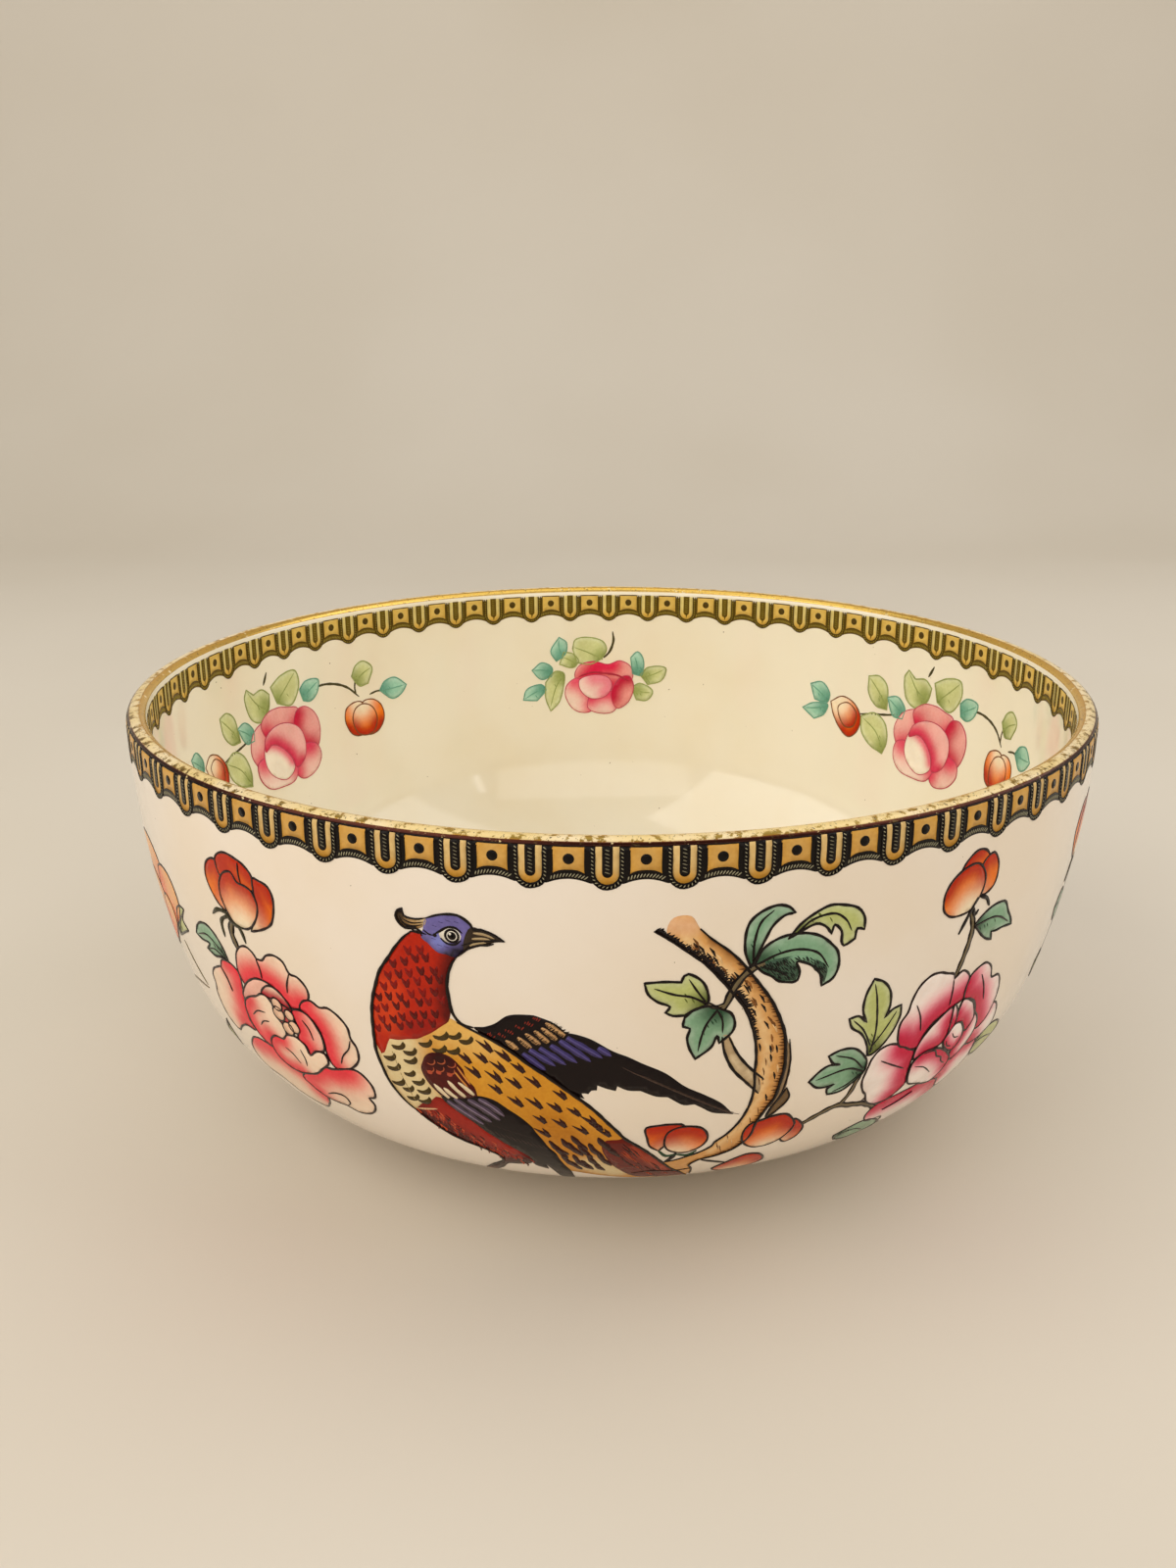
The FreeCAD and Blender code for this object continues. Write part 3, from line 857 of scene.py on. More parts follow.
BACK = ("-31.4,39.3 -29.1,40.4 -25.2,42.3 -22.5,43.9 -20.2,45.6 -17.5,47.9 -14.5,50.2 "
        "-11.8,52.5 -8.7,55.2 -6.4,57.3 -4.1,59.8 -1.8,62.9 0.2,65.6 1.7,67.9 3.6,69.8 "
        "6.3,72.6 9.5,76.8 11.6,80 13.7,83.2 16.3,86.3 18.9,90.5")
RED_EDGE = ("-49.7,50.7* -48.9,50.2 -47.5,47.3 -46.9,46.3* -44.8,46.1 -42.8,45.5 -40.4,44.9 "
            "-39.1,44.1 -37.2,42.9 -35.4,41.4 -34.2,40.4 -33.1,39.4 -32.5,37.6*")
FAR_WING = ("-28.1,40.1 -26,39.7 -23.8,38.7 -22.7,37.8 -21.4,36.7 -20,36.2 -18,36 -16,36 "
            "-14.8,36.4 -13.2,37 -12,37.7 -10.8,38.7 -10,39.7* -8.8,39.8 -7.2,40.2 -5.2,41 "
            "-3.6,42 -1.6,43.4 0,44.3 2,45.2 4.7,46.8 9.5,49.5 13.7,53.2 17.9,55.8 21.6,58.4 "
            "23.7,60.8 24.8,62.2*")
WING_TIPS = ("23.2,61.8 20,61 17.9,59.5* 16,58.2* 13.7,58.2 11.6,56.8* 10.3,55.8* 7.9,55.5 "
             "4.7,53.9* 2.1,53.7 0,52.6* -0.3,53.8* -2,53.3 -4,52.4* -4.1,53.7* -5.2,53.8 "
             "-5.8,54.7* -7.2,54.6 -6.6,56* -8.7,55.2 -11.8,52.5 -14.5,50.2 -17.5,47.9 "
             "-20.2,45.6 -22.5,43.9 -25.2,42.3")


def make_pheasant():
    film = Film("pheasant_enamel", FRONT)
    ochre, cream, red = paint("d08b24"), paint("e2cb97"), paint("b42207")
    black, maroon, slate = paint("120707"), paint("4a0d0a"), paint("4f4150")
    violet, tan, belly = paint("6c63a0"), paint("c99a66"), paint("7a1106")
    blue, olive = paint("3d3466"), paint("42320f")

    # Far wing: black, with violet feathers and hatched tan coverts.
    film.shape(FAR_WING + " " + WING_TIPS, black, layer=0)
    feathers = (("-9.8,40.8", "-2.9,45.5"), ("-3.8,43", "-1.2,45"), ("-11.2,41.6", "-5.2,46.4"),
                ("-13,42.8", "-7.9,46.8"), ("-15.2,43.6", "-10.1,47.4"),
                ("-17.2,44.2", "-12.2,47.8"), ("-18.6,45.2", "-14.2,49"))
    for start, end in feathers:
        film.line(start + " " + end, 1.45, blue, 1, thin=(0.7, 0.1))
        film.line(start + " " + end, 0.45, paint("544a86"), 2, thin=(0.9, 0.1))
    coverts = ("-13.8,37.6 -10.2,40.4", "-14.6,38.8 -11.8,41.4", "-16,39.6 -13.4,42.2",
               "-17.8,40.4 -15.1,42.8", "-19.4,41.4 -16.9,43.8", "-21.8,42.4 -19.5,44.4")
    for covert in coverts:
        film.line(covert, 1.3, tan, 1, thin=(0.3, 0.6))
        for side, lean in ((-0.5, -40), (0.3, -30)):
            line = [(x + side, y - side) for x, y in smooth(points(covert), False, 1)]
            hatch(film, line, 1.0, lean, 0.34, 0.2, black, 2)
    for x, y, *_ in points("-15.6,37 -17.2,38.2 -19,39.2 -21,40.4 -22.6,41.4 -24.8,41.6"):
        run = [(x - 0.9, y - 0.3), (x + 0.7, y + 0.5)]
        hatch(film, run, 0.9, -60, 0.4, 0.24, paint("8c2a1a"), 2)
    for k in range(16):
        x, y = 1 + k * 1.3, 47.8 + k * 0.78
        film.stroke([(x, y), (x + 3, y + 1.9), (x + 5.6, y + 2.9)], 0.2, paint("4c3a30"), 1)

    # Body, then neck, belly and tail on it.
    body = (BACK + " 4,90 -12.5,84* -14,80.6 -15,76.8 -17,72.2 -18,69.5 -19.5,66.8 -20,65.5 "
            "-22,63.5 -24.5,61.5 -27,60 -31,60 -36,60.5 -40,61.5 -44.8,65* "
            "-46.4,63.3 -48.1,60.6 -49.5,57.5 -50.2,54.5 -50.9,50.2 -50.6,46 -46.9,45.5 "
            "-42.8,44.6 -37.2,42 -33.1,38.6")
    breast = [(-46, 47), (-46, 53), (-43, 60)]
    bright, deep = paint("dc9a30"), paint("bd7716")
    film.shape(body, ochre, [(breast, 10, cream), (breast, 6, cream), ([(-24, 50)], 9, bright),
                             ([(-34, 42), (-26, 43)], 7, paint("e6b25c")),
                             ([(-14, 64), (-8, 72)], 7, deep), ([(-6, 80), (0, 84)], 6, cream)], 1)
    neck = (CHEST.split(" -50.9,50.2")[0] + " " + RED_EDGE + " -32.4,34.4 -32.6,32 -32.4,29.9 "
            "-31.9,27.9 -31,25.8 -30.1,24.6 -31.5,23.4 -33.6,23.6 -35.7,22 -36.9,20.8")
    shadow = [(-30.4, 25), (-31.9, 29), (-32.4, 33), (-32.6, 38)]
    film.shape(neck, red, [(shadow, 4.2, paint("5a0a04")), ([(-45, 34), (-47, 42)], 5, paint("cf3a10")),
                           ([(-41, 43), (-37, 41)], 4, paint("9c1608"))], 2)
    film.shape("-44.8,65* -42,62 -39.8,60.8 -38.7,59.6 -36.8,60 -34.5,62.4 -31.4,65 -26.8,70 "
               "-22.2,75 -20.2,77.5 -19.7,79.8 -21,81.5 -24,82.5 -26.5,83 -29,87 -32.5,90.5 "
               "-34.5,89.8* -31.4,85.6 -29.5,83.7 -27.7,81.8 -27.3,80.2 -27.7,78.7 -29.1,77.2 "
               "-31.4,75.6 -34.5,74.1 -37.9,72 -40.6,69.5 -42.9,67.2", belly,
               [([(-43, 66), (-36, 72), (-29, 76)], 3, paint("430803")),
                ([(-38, 63), (-30, 69), (-25, 76)], 4, paint("9a1c0b")),
                ([(-22, 81), (-30, 87)], 6, paint("2a0604"))], 2)
    film.shape("0.5,68.4* 1.7,67.9 3.6,69.8 6.3,72.6 9.5,76.8 11.6,80 13.7,83.2 16.3,86.3 "
               "18.9,90.5* 6,89 0.5,82.1 -1.6,77.9 -3.2,72.1 -2.6,69", paint("66170a"),
               [([(4, 72), (12, 83)], 2.4, paint("9c3418"))], 2)
    for k in range(30):
        y = 70 + 17 * k / 30
        x = -2.4 + (y - 68) * 0.62 + random.uniform(-1.6, 4.6)
        film.stroke([(x, y), (x + 1.3, y + 1.9), (x + 2.3, y + 3.8)], 0.4,
                    random.choice((paint("2c0804"), paint("a8401c"), paint("4b0d05"))), 3)

    # Neck flecks, on staggered rows that follow the feathers down.
    neck_loop = [p[:2] for p in points(neck)]
    for row in range(11):
        for column in range(8):
            x = -32.4 - column * 2.45 - (row % 2) * 1.2 - row * 0.1 + random.uniform(-0.3, 0.3)
            y = 22.2 + row * 2.45 + column * 0.75 + random.uniform(-0.3, 0.3)
            if not contains(neck_loop, (x, y)) or to_line((x, y), neck_loop) < 1.0:
                continue
            ink = paint(random.choice(("6a0803", "820d05", "5a0602")))
            tip = (x + 0.2, y + 1.15)
            film.stroke([(x - 0.8, y - 0.7), (x - 0.35, y + 0.1), tip], 0.95, ink, 3,
                        thin=(0.3, 0.7))
            film.stroke([(x + 0.65, y - 0.9), (x + 0.4, y), tip], 0.8, ink, 3, thin=(0.2, 0.7))
    for k in range(90):
        share = k / 90
        x, y = -43.5 + 21 * share, 64.2 + 16.5 * share
        x, y = x + random.uniform(-2.8, 3.6), y + random.uniform(-2.6, 1.2)
        tone = random.choice((paint("a72d14"), paint("4c0904"), paint("8d1a0b"), paint("c24c2a")))
        film.stroke([(x, y), (x + 0.75, y + 1.0), (x + 0.5, y + 2.1)], 0.55, tone, 3)
    film.line("-44.3,64.5 -42,64.1 -39.2,63.4", 0.5, paint("e3b98a"), 3)

    # Breast scales and back marks.
    crescents(film, "-35.6,42.3 -32.6,41.9 -30.3,42.6 -39.2,44.8 -36.3,45.7 -33.3,45.6 "
              "-45.6,46.8 -43.1,47.7 -48.2,50.2 -43.4,50 -47.8,52.7 -44.2,53.7 -47.5,56.6 "
              "-42.5,55.4 -45.4,58 -41.7,57.6 -44.8,60.3 -42.2,60.5", 1.75, olive, 3)
    hatch(film, [(-47, 49), (-46, 55), (-44, 62)], 0.9, 80, 0.9, 0.16, paint("9b8352"), 3)
    vees(film, "-26.4,44.3 -22.9,46.2 -27.5,47.3 -31,47.9 -24.1,49.1 -20,48.9 -29.5,51.2 "
         "-25.2,51.8 -21.2,52.9 -17.2,52.2 -25.2,55 -11.8,55.2 -21.2,57.9 -17.3,57.9 -13.1,58.7 "
         "-9.1,59.7 -6,62.2 -16.4,62.5 -12.3,63.3 -16.2,66.8 -7.9,65.2 -4.5,64.1 -2.9,66",
         3.0, paint("32100a"), 3, 0.75)
    flames = ("-14.8,69.5 -13.4,72.4 -10.8,75", "-10.6,69.8 -9.4,72.6 -7.5,75.2",
              "-9.8,67.2 -8.6,69.6 -6.4,72.6", "-6,69.8 -5.2,72.4 -3.7,75",
              "-12.5,75.2 -11,78.9 -8.5,82.4", "-9.8,74.8 -8.5,78.9 -6,82.4",
              "-6.4,74 -5.6,77.6 -3.7,80.9", "-4.1,72.9 -3.1,76.6 -1,80.2",
              "-2.5,69.5 -1.4,72.2 0.8,75.4", "-13.6,72 -12.4,74.6 -11.2,77",
              "-8.4,70.6 -7.4,73 -5.4,76", "-12,68.4 -11,70.8 -9,73.4", "-4,67.6 -3,70 -1.4,72.4",
              "-10.8,78 -9.6,80.6 -8.2,83", "-5,79.4 -3.8,81.8 -2.6,83.4", "-8,77.4 -7,80 -5.4,82.8")
    for flame in flames:
        film.line(flame, 1.5, paint("32100a"), 3, thin=(0.2, 0.25))

    # Near wing: maroon shoulder with scales, cream and slate feathers, black primaries.
    film.shape("-37.5,59.1* -36.8,60.6 -34.5,62.9 -31.4,65.6 -29.1,68.3 -26.8,70.6 -24.5,72.9 "
               "-22.2,75.2 -20.2,77.5 -19.7,79.8 -19.5,82 -16.5,84* -16.8,81* -15.5,84.5 -14,91* "
               "-10.6,91* -11,84.5 -12.2,80.6 -13.3,76.8 -13.7,74.8 -15.2,72.2 -16.2,69.5 "
               "-17.5,66.8 -18.1,65.2 -20.2,62.5 -22.9,60.2 -25.6,58.1 -29.1,57.5", black, layer=3)
    for k in range(11):
        x, y = -30.5 + k * 1.15, 64.5 + k * 0.4
        film.stroke([(x, y), (x + 3.2, y + 4), (x + 5.4, y + 8.4)], 0.22, paint("43322e"), 4)
    for start, end in (("-36.2,60.2 -33,62.8", "-29,66"), ("-34.5,59.2 -31,62", "-27,64.9"),
                       ("-31.4,58.9 -28,61.2", "-25,63.9"), ("-29,58.3 -26.4,60", "-23.9,62.5")):
        film.line(start + " " + end, 1.7, slate, 4, thin=(0.5, 0.25))
        film.line(start + " " + end, 0.35, paint("85738a"), 5)
    film.shape("-40,50.2 -39.5,49.1 -38.3,48 -36.8,47.6 -34.8,47.7 -33.3,48.5 -32.2,49.8 "
               "-31.4,51 -31,53.3 -29.5,55.2 -29.1,57.5* -31.5,58.6 -34,59 -37.5,58.9* "
               "-39.5,56.4 -40.4,54.5 -40.8,52.2", maroon, [([(-36, 49.5)], 4, paint("2c0706"))], 4)
    for x, y, *_ in points("-38.4,49.9 -36.1,49.3 -33.9,49.8 -38.9,51.9 -36.6,51.4 -34.3,51.6"):
        arc = [(x + 1.05 * math.cos(a / 5), y + 1.0 * math.sin(a / 5)) for a in range(-2, 14, 2)]
        film.stroke(arc, 0.3, paint("a9502f"), 5)
    for x, y, *_ in points("-38.9,53 -36.9,52.7 -34.5,52.8"):
        film.dot(x, y, 0.5, paint("bb4a30"), 5, 1.2)
    for text in ("-38.5,56 -37,57.8 -35.6,59.3", "-36.4,56.6 -35,58 -33.7,59",
                 "-35.2,54.5 -33.6,56.6 -31.8,58.3", "-32.9,54.5 -31.2,56 -29.8,57.4"):
        film.line(text, 1.0, paint("e9d3ad"), 5, thin=(0.3, 0.6))
    for text in ("-32.6,50.4 -31.6,52.3 -30.3,54.6", "-33.4,51.6 -32.3,53.4 -30.9,55.4"):
        film.line(text, 0.45, paint("d88a3c"), 5)

    # Head, eye, beak and crest.
    film.shape(HEAD_TOP + " -26.3,19.6 -27,21 -28,22.4 -29.4,23.8 -30.4,24.8 -32.2,24.3 -33.6,24.2 "
               "-34.8,23.3 -35.7,22.3 -36.9,21.4 -36.4,19.6", violet,
               [([(-31.5, 24.4), (-28.4, 22.6)], 2.0, paint("1d1522")),
                ([(-33.4, 21.6)], 2.2, paint("7d83cc"))], 3)
    film.shape("-27,18 -25.1,18.4 -23.4,18.9 -21.9,19.7 -20.7,20.5* -22.8,20.8 -24.1,21.4 "
               "-25.4,21.5 -27.5,22.4 -28.6,23.2 -28.4,20.5", paint("33271c"), layer=4)
    for text in ("-26.6,19.2 -24.6,19.3 -22.6,20", "-26.9,20.4 -25,20.2 -23.4,20.3",
                 "-27.4,21.9 -25.6,21.1 -24.2,21"):
        film.line(text, 0.55, paint("b39a72"), 5, thin=(0.4, 0.1))
    drawn(film, "-29,22 -26,20.9 -22.8,20.4 -20.9,20.5", 0.3, layer=6)
    film.dot(-31.1, 20.15, 1.6, paint("f5eddc"), 4, 1.35)
    for radius, width, ink, layer in ((1.28, 0.5, INK, 5), (0.3, 1.1, INK, 6)):
        film.stroke(ring(-30.75, 20.25, radius, 3, 21), width, ink, layer, thin=(0.9, 0.9),
                    wobble=0)
    film.dot(-31.1, 19.85, 0.26, paint("f5eddc"), 7)
    drawn(film, "-34.3,20.4 -33,19.5 -31.4,18.5 -29.8,18.6 -28.7,19.5", 0.42, layer=6)
    drawn(film, "-33,20.9 -31.9,21.9 -30.3,22 -29,21", 0.34, layer=6)
    film.dot(-34.1, 20.5, 0.4, INK, 6)
    for x, y, *_ in points("-34.5,18.5 -33.2,17.6 -31.8,17.1 -30.2,17.2 -34.9,21.2 -33.8,22.4 "
                           "-32.4,22.6"):
        film.stroke([(x, y), (x + 0.9, y + 0.2)], 0.24, paint("3e3560"), 4, wobble=0)
    film.shape("-40.3,15.8* -40.4,16.6 -40.1,17.3 -39.5,17.9 -37.8,17.7 -35.7,17.2 -35.9,18.6 "
               "-37.5,19.7 -40,19.8 -41.3,18.9 -41.8,17.6 -41.3,16.3", paint("a98453"),
               [([(-40.6, 16), (-41.2, 17.6), (-40.6, 19.2)], 2.2, black),
                ([(-36.2, 18)], 1.6, paint("d8bd90"))], 3)
    for text in ("-41,17.5 -40.4,18.8 -38.6,19.2 -36.4,18.7", "-40.8,18.1 -39.6,19.4 -37.4,19.3",
                 "-40.5,18 -38.6,18.6 -36.2,18.1"):
        drawn(film, text, 0.26, layer=4)
    for x in (-39, -37.6, -36.4):
        film.line(f"{x},19.6 {x + 1},20.4 {x + 1.9},20.6", 0.4, INK, 4)

    # Outlines.
    drawn(film, CHEST, 0.62)
    drawn(film, BELLY, 0.6)
    drawn(film, THROAT, 0.55)
    drawn(film, BACK, 0.62)
    drawn(film, HEAD_TOP + " -25.1,18.4* -23.4,18.9 -21.9,19.7 -20.7,20.5", 0.42)
    drawn(film, "-22.8,21.1 -24.1,21.5 -25.4,21.6 -27.5,22.4 -28.6,23.3 -30.1,24.6", 0.4)
    drawn(film, "-40.3,15.8 -41.3,16.3 -41.8,17.6 -41.3,18.9 -40,19.8 -37.5,19.7 -36.7,21", 0.4)
    drawn(film, "-40.3,15.8 -40.1,17.3 -37.8,17.7 -35.7,17.2", 0.3)
    drawn(film, "-36.9,20.2 -38.9,20.4", 0.4)
    film.build(PRINT, "pheasant_transfer")


# ------------------------------------------------------------- the branch and its buds

BLUE_GREEN, DARK_GREEN = paint("80a886"), paint("24442c")
YELLOW_GREEN, OLIVE_GREEN = paint("bcc377"), paint("5a6428")
ORANGE, DEEP_RED, CREAM = paint("f27612"), paint("b82a06"), paint("fbe6c2")


def bud(film, petals, top, low, layer=2, red=5.5, pale=6.5, ink=FLOWER_INK, width=0.55):
    """A bud of overlapping petals: deep red at the top, then orange, and cream at the
    bottom. red and pale are how far the red and the cream reach."""
    for at, text in enumerate(petals):
        loop = smooth(points(text), True, 0.9)
        crown = inner_edge(loop, top, 0.42)
        washes = [(crown, red, DEEP_RED), ([low], pale * 1.5, blend(ORANGE, CREAM, 0.6)),
                  ([low], pale, CREAM)]
        film.fill(loop, ORANGE, washes, layer + at, 1.1)
        outline(film, loop, width, ink, layer + at + 0.5)


def make_branch():
    film = Film("branch_enamel", FRONT)
    bark, shade, light = paint("dc9f5a"), paint("8f5a28"), paint("efc48a")
    right = ("14.7,17.4 16.8,19.5 20,22.1 22.6,24.7 24.7,27.4 27.4,31.1 29.5,34.2 31.6,38.4 "
             "33.2,42.6 33.9,46.8 34.3,51.1 33.9,55.3 33.4,58.9 32.1,61.6 30.5,66 30.2,70 "
             "28.9,73.2 26.8,75.8 23.2,77.9 20,78.9 18.4,80.5 17.9,82.1 18.9,84.2 19.5,89")
    left = ("6.3,17.6 9.5,19.7 12.6,22.1 15.8,24.7 18.9,28.2 21.6,31.6 24.2,35.3 25.8,38.9 "
            "27.1,43.2 27.8,47.9 27.9,51.1 28.3,54.7 28.2,58.4 27.6,61.6 26.3,65.3 24.2,68.9 "
            "22.1,71.3 21.6,72.9 18.9,75.3 16.3,76.8 13.7,78.2 11.1,78.9")
    side = [p[:2] for p in points(right)]
    way_back = " ".join(reversed(left.split()[1:]))
    trunk = right + " 12,88 9,80 " + way_back + " 8.6,17.4 9.8,15 13,14.8"
    middle = [p[:2] for p in points("12,19 17,23.6 22.5,29.5 27,37 29.8,45 30.2,55 27.6,66 22,75")]
    film.shape(trunk, bark, [(side[1:19], 1.5, shade), (middle, 1.5, light),
                             ([(9.5, 16.5), (13, 16.8)], 3.0, paint("e9b486"))], 0)
    film.line("33.8,44.4 34.9,50 34.7,57 33,61.6", 1.5, paint("93795a"), 1)
    edge = [p[:2] for p in points(left)]
    hatch(film, side[3:19], 1.5, 188, 0.9, 0.34, paint("5b3514"), 1)
    for start, end, reach, spacing, heading in ((0, 6, 1.5, 0.22, -30), (2, 7, 2.2, 0.3, -20),
                                                (6, 9, 1.2, 0.5, -10)):
        hatch(film, edge[start:end], reach, heading, spacing, 0.5, INK, 2)
    for k in range(70):
        at = random.randrange(len(middle) - 1)
        share = random.random()
        x = middle[at][0] + (middle[at + 1][0] - middle[at][0]) * share
        x += random.uniform(-1.6, 2.6)
        y = middle[at][1] + (middle[at + 1][1] - middle[at][1]) * share
        bend = 0.5 if y > 40 else 1.2
        dark = x > middle[at][0] + 0.6
        film.stroke([(x, y), (x + bend * 0.6, y + 0.9), (x + bend, y + 2.0)], 0.5 if dark else 0.26,
                    INK if dark and k % 2 else random.choice((shade, paint("6d431c"), light)), 2)
    drawn(film, right, 0.6)
    drawn(film, "34.4,44 35.4,50 35,57 33.4,61.4", 0.34)
    drawn(film, left, 0.5)
    stem(film, "27.4,25.8 25,26.6 23,28.4 21.4,31.1 20.5,33.7 19.7,35", 1.7)
    film.shape("20.2,41.2 21,45 23,49.5 26.4,53.6 29.5,57 29.4,53.4 26.4,49.6 23.8,45.8 21.6,41.2",
               paint("b59a74"), [([(23, 47), (27, 52)], 1.2, paint("dcc49c"))], 1)
    drawn(film, "20.2,41.4 21,45.2 23.1,49.7 26.5,53.7 29.5,57", 0.55, layer=3)
    drawn(film, "21.6,41.6 23.8,46 26.5,49.6 30.2,53.4", 0.5, layer=3)

    leaf(film, "24.7,26.3* 23.4,23.2 23.2,19.5 23.9,16.8 25.8,15 28.9,13.9 31.3,14.5 32.5,15.8* "
         "30.5,16.1 28.4,17.9 27.1,20.5 25.8,23.7", BLUE_GREEN, DARK_GREEN,
         ["25,25 25,21 26,17 28.4,14.8"])
    leaf(film, "25.3,25.8* 26.8,22.6 29.5,20.8 32.6,20.2 35.8,20.5 38.4,21.6 40.5,23.4 42.1,25.3 "
         "42.7,28.4 41.8,31.1 39.5,32.4* 39.2,30.5 38.4,28.9 36.3,27.1 33.7,26.2 34.5,28.4 "
         "34.2,30.3 33.2,30.6* 30.5,30 28.9,28.7 26.8,27.4", BLUE_GREEN, DARK_GREEN,
         ["26.2,25.6 30,24 34,23.6 38,25 40.6,28.6", "27.4,26.6 30.5,28 33,29.8"])
    underside = ("26,26.2* 30,25 34.7,25 37.9,26.4 40.3,28.6 40,31.8* 39,30.2 36.3,27.3 33.7,26.4 "
                 "34.3,28.4 33.8,30.2* 30.5,29.8 28.9,28.5")
    film.shape(underside, paint("3a5240"),
               [([(33, 25.2), (37, 26)], 1.4, BLUE_GREEN)], 3)
    shaded(film, underside, 420, paint("0a120a"), 4)
    leaf(film, "31.6,21.1* 33.7,18.4 36.3,16.6 39.5,15.3 42.6,15.7 45.5,16.8 47.1,18.9 47.4,21.6* "
         "45.8,21.1 45.5,23.2* 43.2,24.3 42.6,23.2* 42.4,21.1 40.8,19.5 40.3,21.3* 38.9,19.5 "
         "36.8,18.7", YELLOW_GREEN, OLIVE_GREEN, ["33,20.4 36,17.8 40.5,17.1 43.2,18.9 44.6,21.4"])
    leaf(film, "4.8,28.4* 8.4,28.2 11.6,28.4* 12.1,27.1 12.9,26.7 15.3,28.2 16.6,30.5 16.8,33.4 "
         "13.7,35 12.6,35.8* 10.3,35.8 8.9,35* 9.7,33.7 7.4,32.6 5.5,30.8", YELLOW_GREEN,
         OLIVE_GREEN, ["16.8,33.6 13.7,31.8 10.5,31.1 6.6,29.6", "16.4,33 14.6,30.4 13,27.8"])
    leaf(film, "12.6,36.3* 14.7,34.5 17.9,34.1 19.7,35 21.6,36.1 22.5,38.4 22.1,40.5 19.7,42.9* "
         "19.2,41.1 18.2,43.7 15.2,46.3* 13.9,43.7 13.3,41.1 13.7,38.9 12.4,38.4", BLUE_GREEN,
         DARK_GREEN, ["18.9,35 17,38 16.1,41 15.6,44.6", "19,35.4 20,37.6 20.2,40.6"])
    stem(film, "16.8,33.5 18.4,34.4 20.2,34", 1.0)

    bud(film, ["6.1,65.8 6.3,64.5 8.9,63.9 11.6,63.7 14.2,64.2 13,68 10.8,71 9.5,73.2* 7.4,71.1 "
               "6.6,67.9", "10.5,69.5 11.1,66.3 13.7,64.7 17.9,65.3 19.7,67.4 20.1,70 18.9,72.6 "
               "15.8,74.5 12.6,73.7 11.1,72.1"], (12.5, 64.5), (13, 76.5), 4, 7)
    drawn(film, "13.7,74.5 13,76.5 11.6,79", 0.9, layer=4)
    for text in ("9.5,73.2 11.5,75.8 13.6,75.2", "13.6,75.2 16.5,76 18.4,74.2"):
        drawn(film, text, 0.7, DARK_GREEN, 4)
    bud(film, ["40,67 43.2,70.5 42.9,74.2 40.5,76.1 38.6,74 39.6,70.6",
               "28.2,68.9 29.2,66.3 31.8,65.3 34.7,64.5 37.4,64.7 39.5,66.8 40.5,68.9 40,71.6 "
               "37.9,74.7 34.7,76.1 31.6,75.5 28.9,72.6"], (34.5, 65.5), (36, 78), 4, 7)
    film.shape("35.8,56.6* 36.8,59.5 35.3,62.1 32.6,64.7 33.2,61.6 34.7,58.9", paint("6b5234"),
               layer=4)
    drawn(film, "35.8,56.6 36.8,59.5 35.3,62.1 32.6,64.7 33.2,61.6 34.7,58.9 35.8,56.6", 0.5, layer=5)
    bud(film, ["25,87 26.8,83.7 31.6,79.5 36,81 38,86 34,89 28,89.4"], (31.6, 80.6), (31, 92), 5, 7)
    drawn(film, "18.9,84.2 14,85 9,84.2 4,85.4", 0.5, layer=5)
    drawn(film, "20.5,79.4 24,81.2 27,82.6", 0.6, layer=5)
    film.build(ENAMEL, "branch_transfer")


# ------------------------------------------------------------------ the right-hand peony

